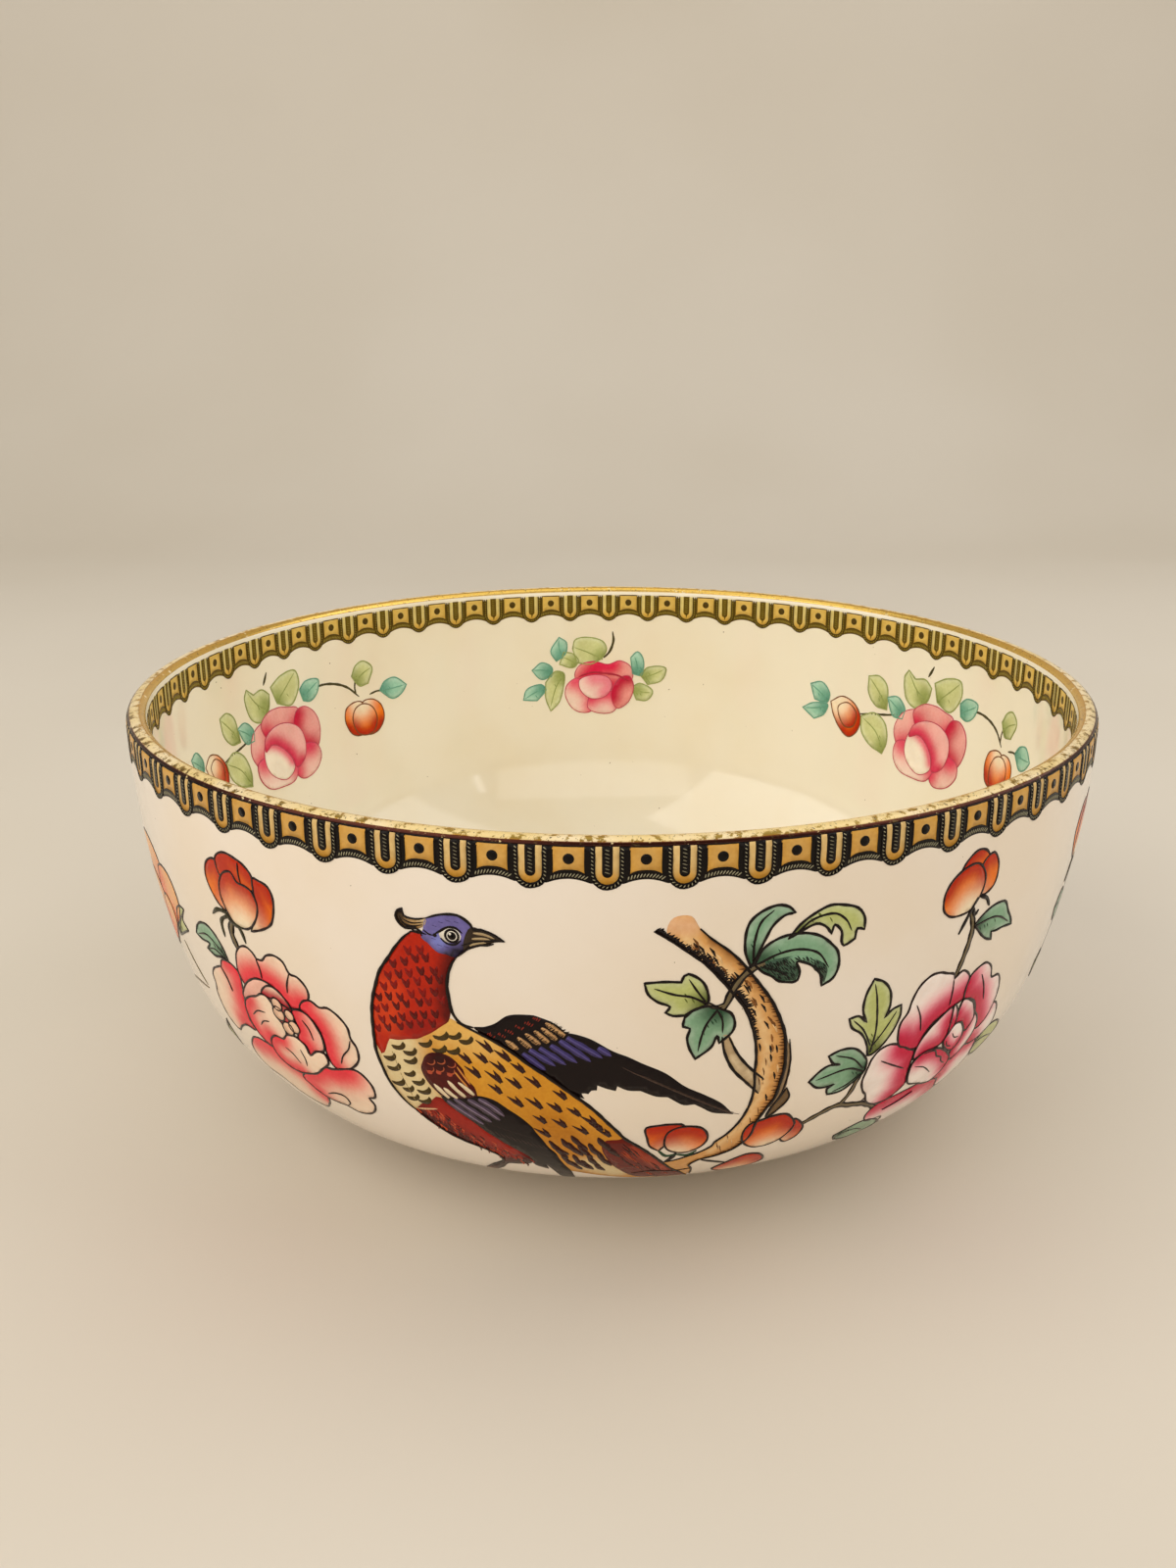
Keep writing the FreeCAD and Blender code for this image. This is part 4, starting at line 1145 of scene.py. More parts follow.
def make_right_peony():
    film = Film("right_peony_enamel", FRONT)
    crimson, pink, white = paint("c8063a"), paint("ee5c80"), paint("fff0e6")
    stem(film, "41.6,70.4 46.3,67.4 50.5,65.8 53.7,66.8 57.9,67.9 61.6,70 63.7,71.8", 1.8, layer=0)
    stem(film, "51.1,65.8 52.6,62.6 53.4,58.9 54.4,55.6", 1.4, layer=0)
    drawn(film, "57.2,67.4 59,64.6 61,63", 0.5, layer=1)
    leaf(film, "54.2,52.6* 53.2,49.5 51.1,46.3 48.4,44.2 47.3,41.8* 49.5,41.6 51.8,43.7* "
         "50.3,40.5 50.3,36.8 51.6,33.4* 54.2,34.7 56.3,37.4 57,41.1 56.3,43.7* 57.9,42.1 "
         "60,41.6* 60.5,44.2 59.5,47.9 57.4,51.1 55.3,52.7", YELLOW_GREEN, OLIVE_GREEN,
         ["54.7,52 54.7,46 53.2,38.4 52,34.6", "54.6,50.6 57,47 59.2,42.8",
          "54.2,50 51.4,45.4 48.4,42.4"])
    leaf(film, "54.7,56.6* 54.5,54.2 52.6,51.6 50,49.7 46.8,49.4 44.2,50.3* 45.8,52.6 47.6,53.2* "
         "44.7,52.9 42.6,54.2 40.8,56.3* 43.2,58.4 46.3,58.7 47.4,58.4* 45.8,59.5 46.3,61.1* "
         "49.5,61.1 52.1,59.5 54.2,57.6", BLUE_GREEN, DARK_GREEN,
         ["54.7,57.1 50,55 42.4,56.2", "54,56 50.6,52.6 46,50.6", "53.6,57.4 50.6,59.6 47.4,60.6"])
    leaf(film, "56.8,81* 60,78.6 63.7,77.4 68,78.8 72,82 74.5,87 70,89.5 63,87 59,84.4",
         BLUE_GREEN, DARK_GREEN, ["58.4,81.2 64,81.6 70,86"], layer=0)
    leaf(film, "95.5,64.4* 99,61.6 104,61.8 109,64.5 112,69 107,71.2 101,71 97,68.2",
         YELLOW_GREEN, OLIVE_GREEN, ["96,64.8 102,65.6 109.5,68.6"], layer=0)

    petals = [
        ("65,70.3 63.2,71.6 62.6,74.2 64.2,77.4 66.8,78.9 70,78.9 72.1,80.5 73.7,83.7 78,86.4 "
         "84,87 88,85 90.8,80.5 90,76 86.4,71.6 82.6,69", (77, 67), 13),
        ("82,69.6 86,72 89.5,76.4 92.8,77.4 95.2,74.4 97.4,71.4 97,66.6 94.4,62.6 90,60.6 "
         "85.6,63.4", (84, 63), 11),
        ("95.3,53.2 97.9,54.2 100,57.4 100.5,60.5 98.4,62.1 93.2,63 89,61.8 88,58 90.6,54.6",
         (87.6, 58), 9),
        ("55.8,54.2 57.4,52.1 60,51.5 62.6,52.4 66.3,54.7 68.2,55.8 68.4,58.9 68.9,62.6 70,65.8 "
         "68.4,68.4 65.8,70 61.6,69.5 58.9,67.4 57.6,64.7 56.3,63.2 55,60 55.5,55.8", (71, 60), 11),
        ("62.6,52.6 61.3,48.9 61.3,46.3 62.6,44.2 62.9,41.6 64.2,38.4 66.8,36.6 69.5,36.6 "
         "71.6,37.4 74.2,38.4 74.5,39.7* 76.8,38.4 78.9,39.5 80,41.1 79.7,44.2 80,46.3 76.3,47.4 "
         "71.6,49.5 69.5,52.1 68.7,55 66.3,54.7 64.7,53.7", (72.6, 52.4), 12.5),
        ("80.3,41.1 82.6,39.5 85.3,39.2 87.9,41.1 89.5,44.2 92.6,44.7 94.7,47.4 95.8,51.1 "
         "95.5,54.7 94.2,57.4 91.1,58.4 89.5,55.8 87.4,52.6 85.8,49.5 83.2,47.4 80.3,46.3",
         (84, 52.4), 11),
        ("84.6,50.6 87.6,52.6 90,55.6 90.4,59 88.4,62.8 85.4,65 83.2,62 85,57", (83, 58.6), 6.6),
        ("68.7,55 70.5,51.6 73.7,48.9 76.8,47.4 77.9,50.5 78.4,53.7 77.4,56.8 73.7,57.6 "
         "70.5,57.9 68.9,58.4", (77.5, 57), 9),
        ("80.3,46.8 84.2,48.4 86.3,51.1 87.6,54.2 85.8,56.8 82.6,53.2 80.3,52.9", (81.6, 55), 7),
        ("77.4,46.8 78.9,48.4 80,51.6 79.7,54.4 78.7,55.2 78,51", (79.5, 56), 7.5),
        ("80.3,52.9 82.6,53.4 84.7,56.3 85,58.9 83.2,61.1 80,59.5 77.9,56.8 78.9,54.7",
         (81, 60), 5.5),
        ("69.2,59.5 71.6,57.6 74.7,57.6 78.4,58.9 82.6,62.1 84.2,64.2 83.7,67.9 81.6,70 "
         "78.4,69.5 74.7,67.9 71.1,66.3 69.5,63.2", (79.5, 59), 8.5)]
    for at, (text, near, reach) in enumerate(petals):
        petal(film, text, crimson, white, near, reach * 0.9, 1 + at * 0.7, bright=pink)
    drawn(film, "72.1,57.9 75.8,58.4 77.4,60.5 79.5,61.6 80.5,63.2 82.6,64.7", 0.4, FLOWER_INK, 10)
    for text in ("79,57 80,58.6 81.8,59.4", "80.4,55.4 81.8,57 83.6,57.4", "70.5,61 74,62.4 78,65.6",
                 "64.6,43 66.6,46.4 68,50.4", "84.6,41.8 87,45.4 89,49.6", "58.6,55.4 62,57.4 66.6,60",
                 "74.4,39.8 75,42.6 75.4,46.4", "68,74.6 72,73.4 76,71.4"):
        drawn(film, text, 0.3, FLOWER_INK, 10)

    bud(film, ["70.3,14.5 72.1,12.1 74.7,10.9 77.4,11.8 78.6,14.5 76,18 71.5,17.5",
               "76.8,13.7 79.5,12.6 81.3,14.7 81.8,17.4 81.1,20 78.4,21.3 76,20.4 75.6,16.6",
               "66.3,20 66.6,17.9 68.4,15.5 71.6,13.9 74.7,13.7 76.8,15.3 77.9,17.9 77.1,21.1 "
               "74.7,23.7 72.1,24.2 68.9,23.8 66.8,22.1"], (72, 13), (74.5, 24.5), 1, 4.5, 6)
    for text in ("76.4,21.4 74.6,24.6 72.4,28.7", "77,21.4 79.4,22.4 80.8,24.5",
                 "75.4,23.2 76.4,25.4 77.4,24.4"):
        drawn(film, text, 0.75, INK, 5)
    stem(film, "75.3,24.6 76.6,27.9 76.6,31.1 75.8,35.3 74.5,40", 1.7, layer=0)
    leaf(film, "77.1,27.9* 79.5,26.1 82.6,25 85.8,25 87.1,25.5 88.9,28.2 90.5,30 91.7,32.1* "
         "88.4,31.6 85.3,31.6 83.7,31.3* 84.5,33.4* 82.1,32.4 80,30.8 78.4,29.2", BLUE_GREEN,
         DARK_GREEN, ["77.4,28.2 82.6,27.8 86,28.6 90,31"])
    film.build(ENAMEL, "right_peony_transfer")


# ------------------------------------------------------------------- the left-hand peony

def make_left_peony():
    film = Film("left_peony_enamel", FRONT)
    coral, deep, rim, pink = paint("ec3440"), paint("b8182a"), paint("f8dabd"), paint("f5bba6")
    stem(film, "-85.8,29 -87.2,32.4 -86.2,36", 2.1, layer=0)
    leaf(film, "-105.3,38.8* -103.4,36.2 -100.6,34.5 -97.2,34.3 -94.4,36 -92.5,38.6 -91.8,41.2* "
         "-94.9,41 -97.7,41.7 -101,41* -98.9,39 -102.5,39.3", BLUE_GREEN, DARK_GREEN,
         ["-92.2,40.8 -95,38.6 -99,37 -104,38.4", "-93,40.8 -97,39.8 -100.4,40.8"])
    petals = [
        ("-89.1,60.5 -93,61.4 -95.8,63.8 -98.2,67.1 -98.7,71 -96.8,73.3 -91,74 -87,77 -78.7,78.6 "
         "-74.4,75.2 -72.7,71.9 -74,66 -80,62", (-81, 62), 13),
        ("-88.7,42.9 -90.6,41.4 -93,41.2 -95.3,41.9 -96.5,43.8* -99.1,45 -101.5,46.4 -103.2,48.6 "
         "-103.4,51 -104.9,54.3 -104,60 -100.6,62.4 -97.2,60 -93.9,58.3 -90.1,58.1 -91,55.7 "
         "-90.8,52.9 -89.6,49", (-87.6, 50), 12),
        ("-88.7,42.4 -88.2,39.5 -87.2,37.1 -85.3,35.2 -83,34.4 -81,35.2 -80.1,36.4* -78.2,36.1 "
         "-76.5,34.5 -73.9,33.7 -71.5,34.5 -70.3,36.9 -68.2,37.1 -66.3,38.8 -65.9,40.5 "
         "-66.5,42.1 -69.6,45.2 -72.5,45.7 -74.9,42.9 -77.7,41.7 -81,41.7 -84.4,42.9 -87.2,45.2",
         (-78, 46), 10.5),
        ("-69.6,45 -68.2,42.9 -65.8,42.1 -63.7,43.1 -61.5,42.6 -59.1,43.8 -57.2,46.2 -57,49 "
         "-56,51 -56.3,54.3 -58.7,57.1 -61.5,58.6 -63,59 -64.4,58.1 -65.1,55.2 -64.9,51.4 "
         "-65.8,48.1 -67.7,46.2", (-67.5, 51), 9.5),
        ("-77.7,66.7 -75.8,69.5 -73,71.4 -70.1,71.9 -66.3,71.9 -63.9,72.9 -60.6,72.4 -57.7,70.5 "
         "-56.3,67.6 -57,65.5 -55.3,64.8 -54.6,62.9 -54.9,60.5 -56.8,58.1 -59.1,57.6 -64.9,59.5 "
         "-68.5,60 -73,63", (-72, 60), 12),
        ("-89.6,49 -88.2,46.2 -85.8,43.8 -82.5,41.9 -79.1,41.5 -75.8,42.4 -73.4,44.3 -72.5,46.2 "
         "-74,52 -82,53", (-79, 50), 9),
        ("-81.5,45.2 -79.6,42.9 -77.2,42.1 -74.4,43.3 -72.7,46.2 -75.8,45.7", (-77, 47), 5),
        ("-72.5,46.7 -70.6,45.7 -67.7,46.2 -65.8,49 -65.1,51.9 -65.8,54.8 -68.2,55.7 -70.6,57.6 "
         "-71,55.2 -73,53.8 -71.8,51", (-73, 51.5), 8),
        ("-90.6,52.9 -89.6,50 -87.2,48.1 -83.9,46.7 -82,45.5 -80.1,45.5 -78.7,47.1 -78.9,49.5 "
         "-77,51.9 -77,54.3 -78.7,56.2 -81.5,56.2 -83.9,58.1 -84.9,60.5 -88.2,59 -90.1,56.2",
         (-91, 55.5), 9),
        ("-84.6,60 -83.9,58.1 -81.5,56.2 -78.7,56 -76.8,54.3 -73.9,53.8 -71.5,55.2 -70.8,57.6 "
         "-68.2,55.7 -65.8,55.7 -65.6,58.1 -68.2,60.5 -71,62.9 -74.4,64.3 -77.7,65.2 "
         "-81.5,64.8 -83.9,62.9", (-84, 63), 8)]
    for at, (text, near, reach) in enumerate(petals):
        shade = deep if at in (5, 6) else coral
        petal(film, text, shade, pink if at in (5, 7) else rim, near, reach * 0.92, 1 + at * 0.7)
    for x, y, radius in ((-77, 46.4, 1.6), (-77.2, 48.8, 1.8), (-73.7, 48.1, 1.4),
                         (-73.2, 51, 1.6), (-75.4, 52.1, 1.7)):
        film.dot(x, y, radius, paint("f5c7a6"), 9)
        film.stroke(ring(x, y, radius, 2, 14), 0.42, FLOWER_INK, 9.5, thin=(0.8, 0.8))
    for text in ("-57.2,49.5 -58.2,51.9 -60.3,54.3 -61.5,56.7", "-71,69.5 -67.7,67.9 -64.9,67.9 "
                 "-64.4,70 -66.3,71.9", "-86,55 -84.4,53.4 -82,52.6", "-88,53 -85.4,51 -82.4,50.4",
                 "-79,58.4 -77,59.4 -75.4,61.6", "-73.6,57 -73,59.6 -73.4,61.6",
                 "-80.1,36.4 -79.6,39 -79.8,41", "-96.5,43.8 -95,46.4 -94.4,49.4",
                 "-69.8,48 -68.4,50 -68,52.6", "-70.3,36.9 -71.6,39.6 -72.2,42"):
        drawn(film, text, 0.32, FLOWER_INK, 10)

    bud(film, ["-93,21.4 -92.5,18.6 -90.6,16.7 -88.2,16.2 -86.8,17.6 -85.4,22 -87.7,27.6* "
               "-90.1,26.2 -92,23.8",
               "-88.2,16.2 -86.8,14.5 -84.4,13.7 -81.5,14 -78.7,14.8 -76.5,16.7 -76.6,20 "
               "-82,20.5 -87,19.5",
               "-76.3,17.1 -74.9,17.1 -72,17.9 -71,20 -71.3,22.9 -72.7,26.2 -75.8,28.3 "
               "-79.6,29.8* -76.6,24",
               "-88,21.4 -86.5,19 -84.9,17.9 -83,17.6 -81.5,19.3 -79.1,19.5 -77.2,20.2 "
               "-76,22.9 -76.8,25.7 -79.1,28.6 -81.5,29.8 -84.9,29.5 -87,27.1 -88.2,24.3"],
        (-82, 15), (-82, 31), 1, 6, 8)
    drawn(film, "-80.3,14.8 -80.5,17 -80.2,19.3", 0.36, FLOWER_INK, 7)
    for text in ("-88,27.8 -91,28.2 -93.4,30", "-87.4,28.6 -90.2,30.6 -90.3,34.5",
                 "-84,29.8 -83,31.4 -82.5,33.6", "-88,27.6 -86,29.6 -82,30"):
        drawn(film, text, 0.8, paint("33301a"), 5, thin=(0.8, 0.1))
    film.build(ENAMEL, "left_peony_transfer")


# --------------------------------------------------- flowers that the photo barely shows

def make_side_flower():
    """The orange flower at the left edge of the photo, with its leaves and stems."""
    film = Film("side_flower_enamel", FRONT, offset=(-133.0, 0.0))
    glow, rust, rim = paint("ea5c0a"), paint("c03c08"), paint("f4b070")
    drawn(film, "14,46 18,51 22,54.6", 1.1, paint("5d5220"), 0)
    drawn(film, "22,55.4 11,57.5 0,62 -7,68 -9,72", 0.7, paint("5d4a20"), 0)
    leaf(film, "23,34.8* 20.5,34.8 17.5,36.5 14.5,41 12,45.4* 16,43.4 20,41.4 22,40.5* 19.8,38.6",
         YELLOW_GREEN, OLIVE_GREEN, ["13,45 17,40 22,35.8"])
    leaf(film, "-2,80* 4,75.6 13,73 20,67.6 25,62.8* 22,71 14,77.6 5,81.4", YELLOW_GREEN,
         OLIVE_GREEN, ["-1,79.8 8,77 17,72 24.4,63.6"], layer=0)
    leaf(film, "-9,70.4* -12,65 -11,59.6 -7,56* -3.4,60.4 -4,66", BLUE_GREEN, DARK_GREEN,
         ["-8.4,70 -8.4,64 -7,57"], layer=0)
    petals = [
        ("-14,33 -9,26.6 -1,24 6,24.6 11,28 12,33 6,38 -4,40 -12,38", (0, 41), 13),
        ("8,30 12,27.8 17,28.4 19.8,31.6 20,35.4 16,40.4 10,43 5,40", (6, 40), 11),
        ("-15,35 -12,32.6 -8,34 -6,39 -8,46 -12,48.6 -15.4,44", (-4, 46), 10),
        ("-11,44 -9,37 -3,33.6 4,34.4 8,39 7,46 2,51.6 -6,52.6 -10,49.4", (-1, 52), 13),
        ("5,38.6 9,36 12.6,37.6 13,41.4 9,45.8 3,50.4 0,50.4 3,44", (2, 49), 10)]
    for at, (text, near, reach) in enumerate(petals):
        petal(film, text, rust if at == 3 else glow, rim, near, reach, 1 + at)
    drawn(film, "-3,52.4 -5,56 -5,60", 0.9, paint("4a4420"), 2)
    film.build(ENAMEL, "side_flower_transfer")


def make_back_bud():
    """A guessed bud on a leafy stem, to fill a stretch that the photo doesn't show."""
    film = Film("back_bud_enamel", FRONT, offset=(133.0, 0.0))
    drawn(film, "1,31 2.4,37 1.6,44 -1.4,52 -2,60", 0.8, paint("33301a"), 1)
    leaf(film, "1.6,42* -2,37.6 -7,36.4 -10.4,39.4* -7,43.6 -2,45", BLUE_GREEN, DARK_GREEN,
         ["1,42.4 -4,40.4 -9.4,39.6"])
    leaf(film, "2,48.6* 4.6,43.8 9,42.4 12.6,45* 10.4,50 5.6,52", YELLOW_GREEN, OLIVE_GREEN,
         ["2.2,48.8 6.6,47 11.8,45.4"])
    leaf(film, "-1.8,55* -6,52 -10.4,53.6* -8.4,58 -3.6,59.6", YELLOW_GREEN, OLIVE_GREEN,
         ["-2,55.6 -5.6,55.2 -9.6,54.2"])
    bud(film, ["-9,22 -7,17.6 -3,15.6 1,17 1,23 -4,29", "1,16.6 5,15.4 9,18.4 9.6,23 6,28 2,24",
               "-5.4,22.6 -3,18.6 1,17.6 5,19.4 6.4,24 4,29 0,30.6 -4,28"], (0.4, 18), (0.6, 31), 1, 5, 7)
    for text in ("-1,30 -4,31.4 -6.4,34.4", "1.4,30.4 4.4,31.4 6.4,34"):
        drawn(film, text, 0.75, paint("33301a"), 5)
    film.build(ENAMEL, "back_bud_transfer")


# ------------------------------------------------------------- the sprays on the inside

THIRDS = [math.radians(angle) for angle in (0, 120, 240)]
INNER_INK = paint("4a4428")


YELLOWISH = (paint("cfd392"), paint("8f9c52"))
TEAL = (paint("9ccfb3"), paint("5f9c84"))


def inner_leaves(film, leaves, width, thick):
    """Small leaves with one rib each. A leaf is its outline, its two colours, its rib."""
    for text, (base, dark), vein in leaves:
        ink = blend(base, dark, 0.85)
        leaf(film, text, base, dark, [vein], 1, ink, width, 3, thick)


def small_peony(film, petals):
    """A peony whose petals are (outline, deep colour, rim, heart, reach)."""
    for at, (text, deep, rim, near, reach) in enumerate(petals):
        petal(film, text, paint(deep), paint(rim), near, reach, 3 + at, paint("c2485c"), 0.26)


def make_small_sprays():
    film = Film("small_spray_enamel", THIRDS, True)
    drawn(film, "2.5,14 2.8,17 1.5,20.5 -0.5,22.5", 0.7, INNER_INK, 1)
    drawn(film, "9,26 13,26.8 17,27", 0.5, INNER_INK, 1)
    leaves = (("-11,19.4* -10,16.5 -6,15.8 -1,17 0.5,19.5 -1,22.5 -5,24.5 -9.6,24*",
               YELLOWISH, "-0.8,23 -6,20.6 -10.4,19"),
              ("-14,20.5* -11,21 -9,23.4 -11,25.6 -15.5,24.4*", YELLOWISH, "-9.4,24.6 -12,23 -14.6,22"),
              ("-15.5,15.6* -13,17.4 -13.4,21 -16.6,23.4* -18.4,20",
               TEAL, "-14.4,22.6 -15.6,19 -15.6,16.4"),
              ("-25,26* -21.5,23.6 -18,25.4 -18.4,28.2* -22,29", TEAL, "-18.4,27 -21.4,26 -24.4,26"),
              ("-28.4,35.4* -27,32 -22,30.6 -20.4,32.4 -23.6,35.8*",
               TEAL, "-20.8,32 -24.4,33.2 -27.8,35"),
              ("-20.4,30* -17,26.6 -14,27.4 -14.4,32 -16,36.6 -19,39.4* -20.6,35",
               YELLOWISH, "-14.6,28 -17,32 -19,38"),
              ("8.6,22.4* 11,20.4 13,23 12.4,28 9.4,27.6*", TEAL, "10.8,27.6 10.8,24.6 10,22"),
              ("12,28* 14.6,25.4 20.6,25.4 19.4,29.4 14.6,31*", YELLOWISH, "12.8,28.6 16,27.8 20,26"),
              ("9,32* 12,30.6 16.4,33 14.6,36 10.8,36*", YELLOWISH, "9.8,32.6 12.6,33.4 15.6,33.6"))
    inner_leaves(film, leaves, 0.34, 0.34)
    small_peony(film, [
        ("-10.4,28 -8.6,24.8 -4,23.6 1,24.6 5,23.4 8.6,25.2 9.4,29 6,32.6 -4,32 -9,31",
         "dc2348", "f3a79c", (-1, 31), 8),
        ("-9,29 -13,31 -13.6,35 -10.4,39.4 -5,39.8 -3,35", "e8546a", "f8dcc8", (-4, 31), 9),
        ("3,39.8 -2,40.4 -6,38.6 -5,34.6 1,33 5,35", "e4405e", "f8d4c5", (0, 32), 8),
        ("4,38.8 8,36.8 9.8,32 8.4,28.4 5,29 2,34", "c2183a", "f09a90", (4, 31), 7),
        ("-8.8,29.6 -4,28 1,28.8 2.4,31.6 0,35 -5,35.6 -8.4,33", "ee8290", "f9dccc", (1, 29), 8)])
    drawn(film, "-9,28.5 -4.6,27.2 0,27.5 4.4,28.2 8,30", 0.5, paint("b02a3c"), 9)
    film.build(ENAMEL, "inner_small_sprays")


def make_large_sprays():
    film = Film("large_spray_enamel", [turn + math.pi / 3 for turn in THIRDS], True)
    drawn(film, "-5,16 -4,14.4 -3,12.6", 0.7, INNER_INK, 1)
    drawn(film, "16,22.6 18,21 24,21.5 29,23.5 33,27", 0.65, INNER_INK, 1)
    drawn(film, "33,20.6 31.8,23.6 32,26.4", 0.5, INNER_INK, 1)
    drawn(film, "-12,28 -18,30 -24,31 -30,32", 0.55, INNER_INK, 1)
    drawn(film, "37,27 40,26.4 42,26.6", 0.5, INNER_INK, 1)
    leaves = (("-13,15.5* -14.4,18 -12.6,24 -8,26 -4,23 -3,19* -6,17 -10,17.6*",
               YELLOWISH, "-5.4,22.6 -9,20.6 -12.6,16.4"),
              ("-2,17.2* 3,14.8 9,14.5 10,19 6,24 0,22.4*", YELLOWISH, "0,22 4,19 8.6,15.2"),
              ("10,20.4* 13,18.4 18,19 17,22.6 14,24.6 11,24*", TEAL, "10.8,22.8 14,21.4 17.4,19.6"),
              ("31,20.4* 33,17.4 36,16.5 39,19 37,23.5* 33.6,23.8",
               YELLOWISH, "32,22.6 35,20.4 38.4,19"),
              ("41,26.4* 43,24 47,23.2 51,26* 49,28.4 45.4,29.6", TEAL, "41.6,26.4 46,26.4 50.4,26"),
              ("-28,20* -24,19.4 -20.6,22 -19.6,28.8* -24,28.4 -27.4,25",
               YELLOWISH, "-20.4,27.6 -23.6,24 -27.4,20.6"),
              ("-20,25* -16,24.2 -12.6,27 -13,30.2* -17,30", TEAL, "-13.4,29 -16.4,27 -19.4,25.4"),
              ("-29,32.4* -24,30.6 -19.4,33 -17.6,38 -18.6,42* -24,40.4 -28,37",
               YELLOWISH, "-18.8,40.6 -22.6,36 -28.4,32.8"),
              ("-49,25.6* -45,24.6 -41.8,27.6 -42.4,30.6 -47,30.2*",
               TEAL, "-42.4,29.8 -45,28 -48.4,26"),
              ("-51,33.4* -47.4,31.4 -42,31.2 -43,34.4 -46.4,36.2*",
               TEAL, "-42.4,31.8 -46,32.8 -50.2,33.4"))
    inner_leaves(film, leaves, 0.38, 0.36)
    bud(film, ["26.6,34 27.4,30 31,28.4 34,29 35,33 33,38.4 28.8,38",
               "34,29 38,28.6 41,31 41.4,35 38.6,38.4 34.6,38.8 33,34",
               "29.4,33.6 31,30.4 34.4,29.4 37.6,31 38.8,34.6 37,38.2 33.6,39 30.6,37.6"],
        (34, 39.6), (33.4, 29), 1, 4, 5.5, paint("7c4a26"), 0.4)
    bud(film, ["-41,30* -37,27.8 -32,29.4 -29,33.6 -30.2,38 -33,39.6 -36.6,37.4 -39.6,33.6",
               "-38,31 -34.6,29.4 -31,32 -31.4,36 -34.4,36.8 -37,34.4"], (-30, 39.6), (-38.4, 29.6), 1, 4, 6,
        paint("7c4a26"), 0.4)
    small_peony(film, [
        ("-15.6,34 -13.6,28.8 -9,26.4 -4.6,26.8 -3,31 -6,37 -12,39", "e23a58", "f5b7ac", (-5, 35), 10),
        ("-9,27.4 -5.4,24.2 0,23.6 4,24.4 8,25.4 9,29.4 4,33.6 -5,33", "d62248", "f3a8a0", (0, 34), 9),
        ("7,26.6 11,25.6 15,28.6 16,33.4 13.6,38.4 8.6,37.6 5,33", "ca1a3e", "f2a8a0", (5, 34), 9),
        ("13,37 14.6,41 11,45 5,46 2,42.4 6,37", "de3a58", "f6c9ba", (4, 37), 9),
        ("-13.6,37 -14,41.4 -10.6,45 -5,46 1.6,45.4 4,41 0,37 -8,36", "e65068", "f9dccb", (-3, 37), 10),
        ("-10,36 -8.4,32.6 -3,34 1.4,38 2.4,42 -2,44.4 -7,42.6 -9.6,39.6",
         "ea6478", "fdf0da", (-1, 33), 4),
        ("-9,34.6 -8,31 -3,28.6 3,28.8 7.8,31.6 9,36 7.4,40.4 3.4,42.2 1.8,38.4 -2,34.8 -5.4,33.4",
         "d83454", "f6b4ac", (-1, 38), 6)])
    film.dot(-4.4, 40.8, 1.6, paint("f7e3c4"), 4, 1.3)
    film.build(ENAMEL, "inner_large_sprays")


# ------------------------------------------------------------------------------ making

make_pot()
make_foot()
make_gilding()
OUTER_TONES = ("0c0502", "cb9236", "dcb878", "a19a7c", "0a0402")
INNER_TONES = ("65510f", "dcb04c", "dfca7c", "a5923c", "4c3a0a")
make_border("outer_border", "outer_border_band", False, 53, -8.9, 0.95, 0.0,
            OUTER_TONES)
make_border("inner_border", "inner_border_band", True, 56, -5.2, 1.6, 1.1,
            INNER_TONES)
make_pheasant()
make_branch()
make_left_peony()
make_right_peony()
make_side_flower()
make_back_bud()
make_small_sprays()
make_large_sprays()

# ------------------------------------------------------------- floor, camera and light


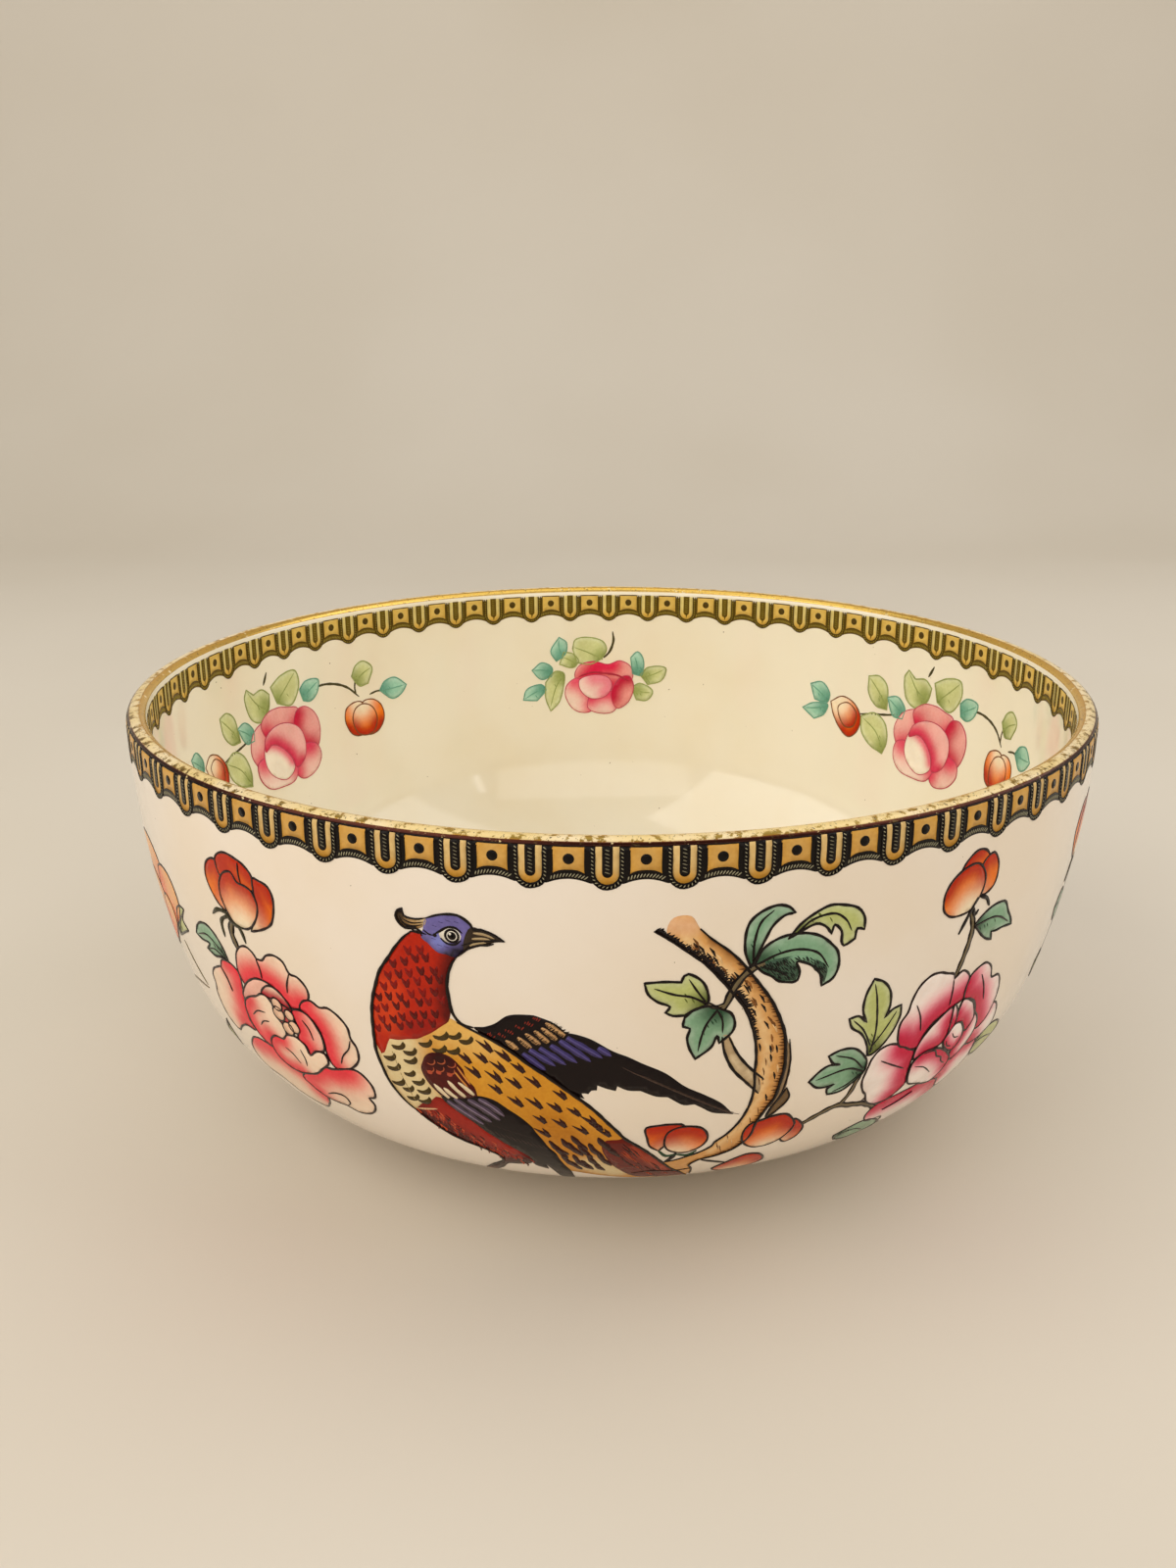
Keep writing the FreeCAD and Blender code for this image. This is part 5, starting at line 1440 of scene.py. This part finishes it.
def make_floor():
    """A plain pale table that rises into a plain pale wall behind the bowl."""
    half, back, rise, bend = 1.6, 1.1, 1.5, 0.35
    rows = [(-1.4, 0.0), (back - bend, 0.0)]
    for step in range(1, 13):
        angle = step * math.pi / 24
        rows.append((back - bend + bend * math.sin(angle), bend - bend * math.cos(angle)))
    rows.append((back, rise))
    corners, faces = [], []
    for y, z in rows:
        corners.extend(((-half, y, z), (half, y, z)))
    for k in range(len(rows) - 1):
        faces.append([2 * k, 2 * k + 1, 2 * k + 3, 2 * k + 2])
    mesh = bpy.data.meshes.new("floor")
    mesh.from_pydata(corners, [], faces)
    mesh.polygons.foreach_set("use_smooth", [True] * len(faces))
    material, tree, shader = new_material("floor_paper", Roughness=0.75)
    cloudy = steps(tree, noise(tree, 3, 2), 0.3, 0.8)
    base = mixed(tree, cloudy, paint("dcd4c7"), paint("d6cdbe"))
    tree.links.new(base, shader.inputs["Base Color"])
    mesh.materials.append(material)
    floor = bpy.data.objects.new("floor", mesh)
    bpy.context.scene.collection.objects.link(floor)


def area_light(name, place, aim, width, height, power, colour):
    light = bpy.data.lights.new(name, "AREA")
    light.shape = "RECTANGLE"
    light.size, light.size_y = width, height
    light.energy = power
    light.color = colour
    lamp = bpy.data.objects.new(name, light)
    lamp.location = place
    lamp.rotation_euler = (Vector(aim) - Vector(place)).to_track_quat("-Z", "Y").to_euler()
    bpy.context.scene.collection.objects.link(lamp)


LENS = 34.07                        # for a sensor 36 mm high
CAMERA_PLACE = (-0.0053, -0.3563, 0.1919)
CAMERA_DIP = 18.66                  # degrees below level
CAMERA_ROLL = 0.1                   # degrees


def make_view():
    """The camera at the photo's viewing angle, and soft studio light."""
    scene = bpy.context.scene
    data = bpy.data.cameras.new("camera")
    data.sensor_fit = "VERTICAL"
    data.sensor_height = 36
    data.lens = LENS
    data.clip_start = 0.01
    camera = bpy.data.objects.new("camera", data)
    camera.location = CAMERA_PLACE
    camera.rotation_euler = (math.radians(90 - CAMERA_DIP), math.radians(CAMERA_ROLL), 0)
    scene.collection.objects.link(camera)
    scene.camera = camera
    world = bpy.data.worlds.new("world")
    world.use_nodes = True
    set_inputs(world.node_tree.nodes["Background"], Color=(1.0, 0.95, 0.88, 1), Strength=0.34)
    scene.world = world
    scene.view_settings.view_transform = "Standard"
    centre = (0, 0, 0.05)
    area_light("window", (-0.85, -0.45, 0.85), centre, 1.3, 1.0, 8.2, (1.0, 0.94, 0.86))
    area_light("room", (0.85, 0.05, 0.8), centre, 1.1, 0.9, 4.4, (1.0, 0.96, 0.93))
    area_light("ceiling", (0.0, 0.2, 1.1), centre, 1.2, 0.9, 3.0, (0.98, 1.0, 0.94))
    area_light("front", (0.1, -1.2, 0.55), centre, 1.5, 0.8, 4.0, (1.0, 0.95, 0.88))
    area_light("glint", (0.62, -0.62, 0.3), centre, 0.03, 0.4, 0.12, (1.0, 0.98, 0.95))


make_floor()
make_view()
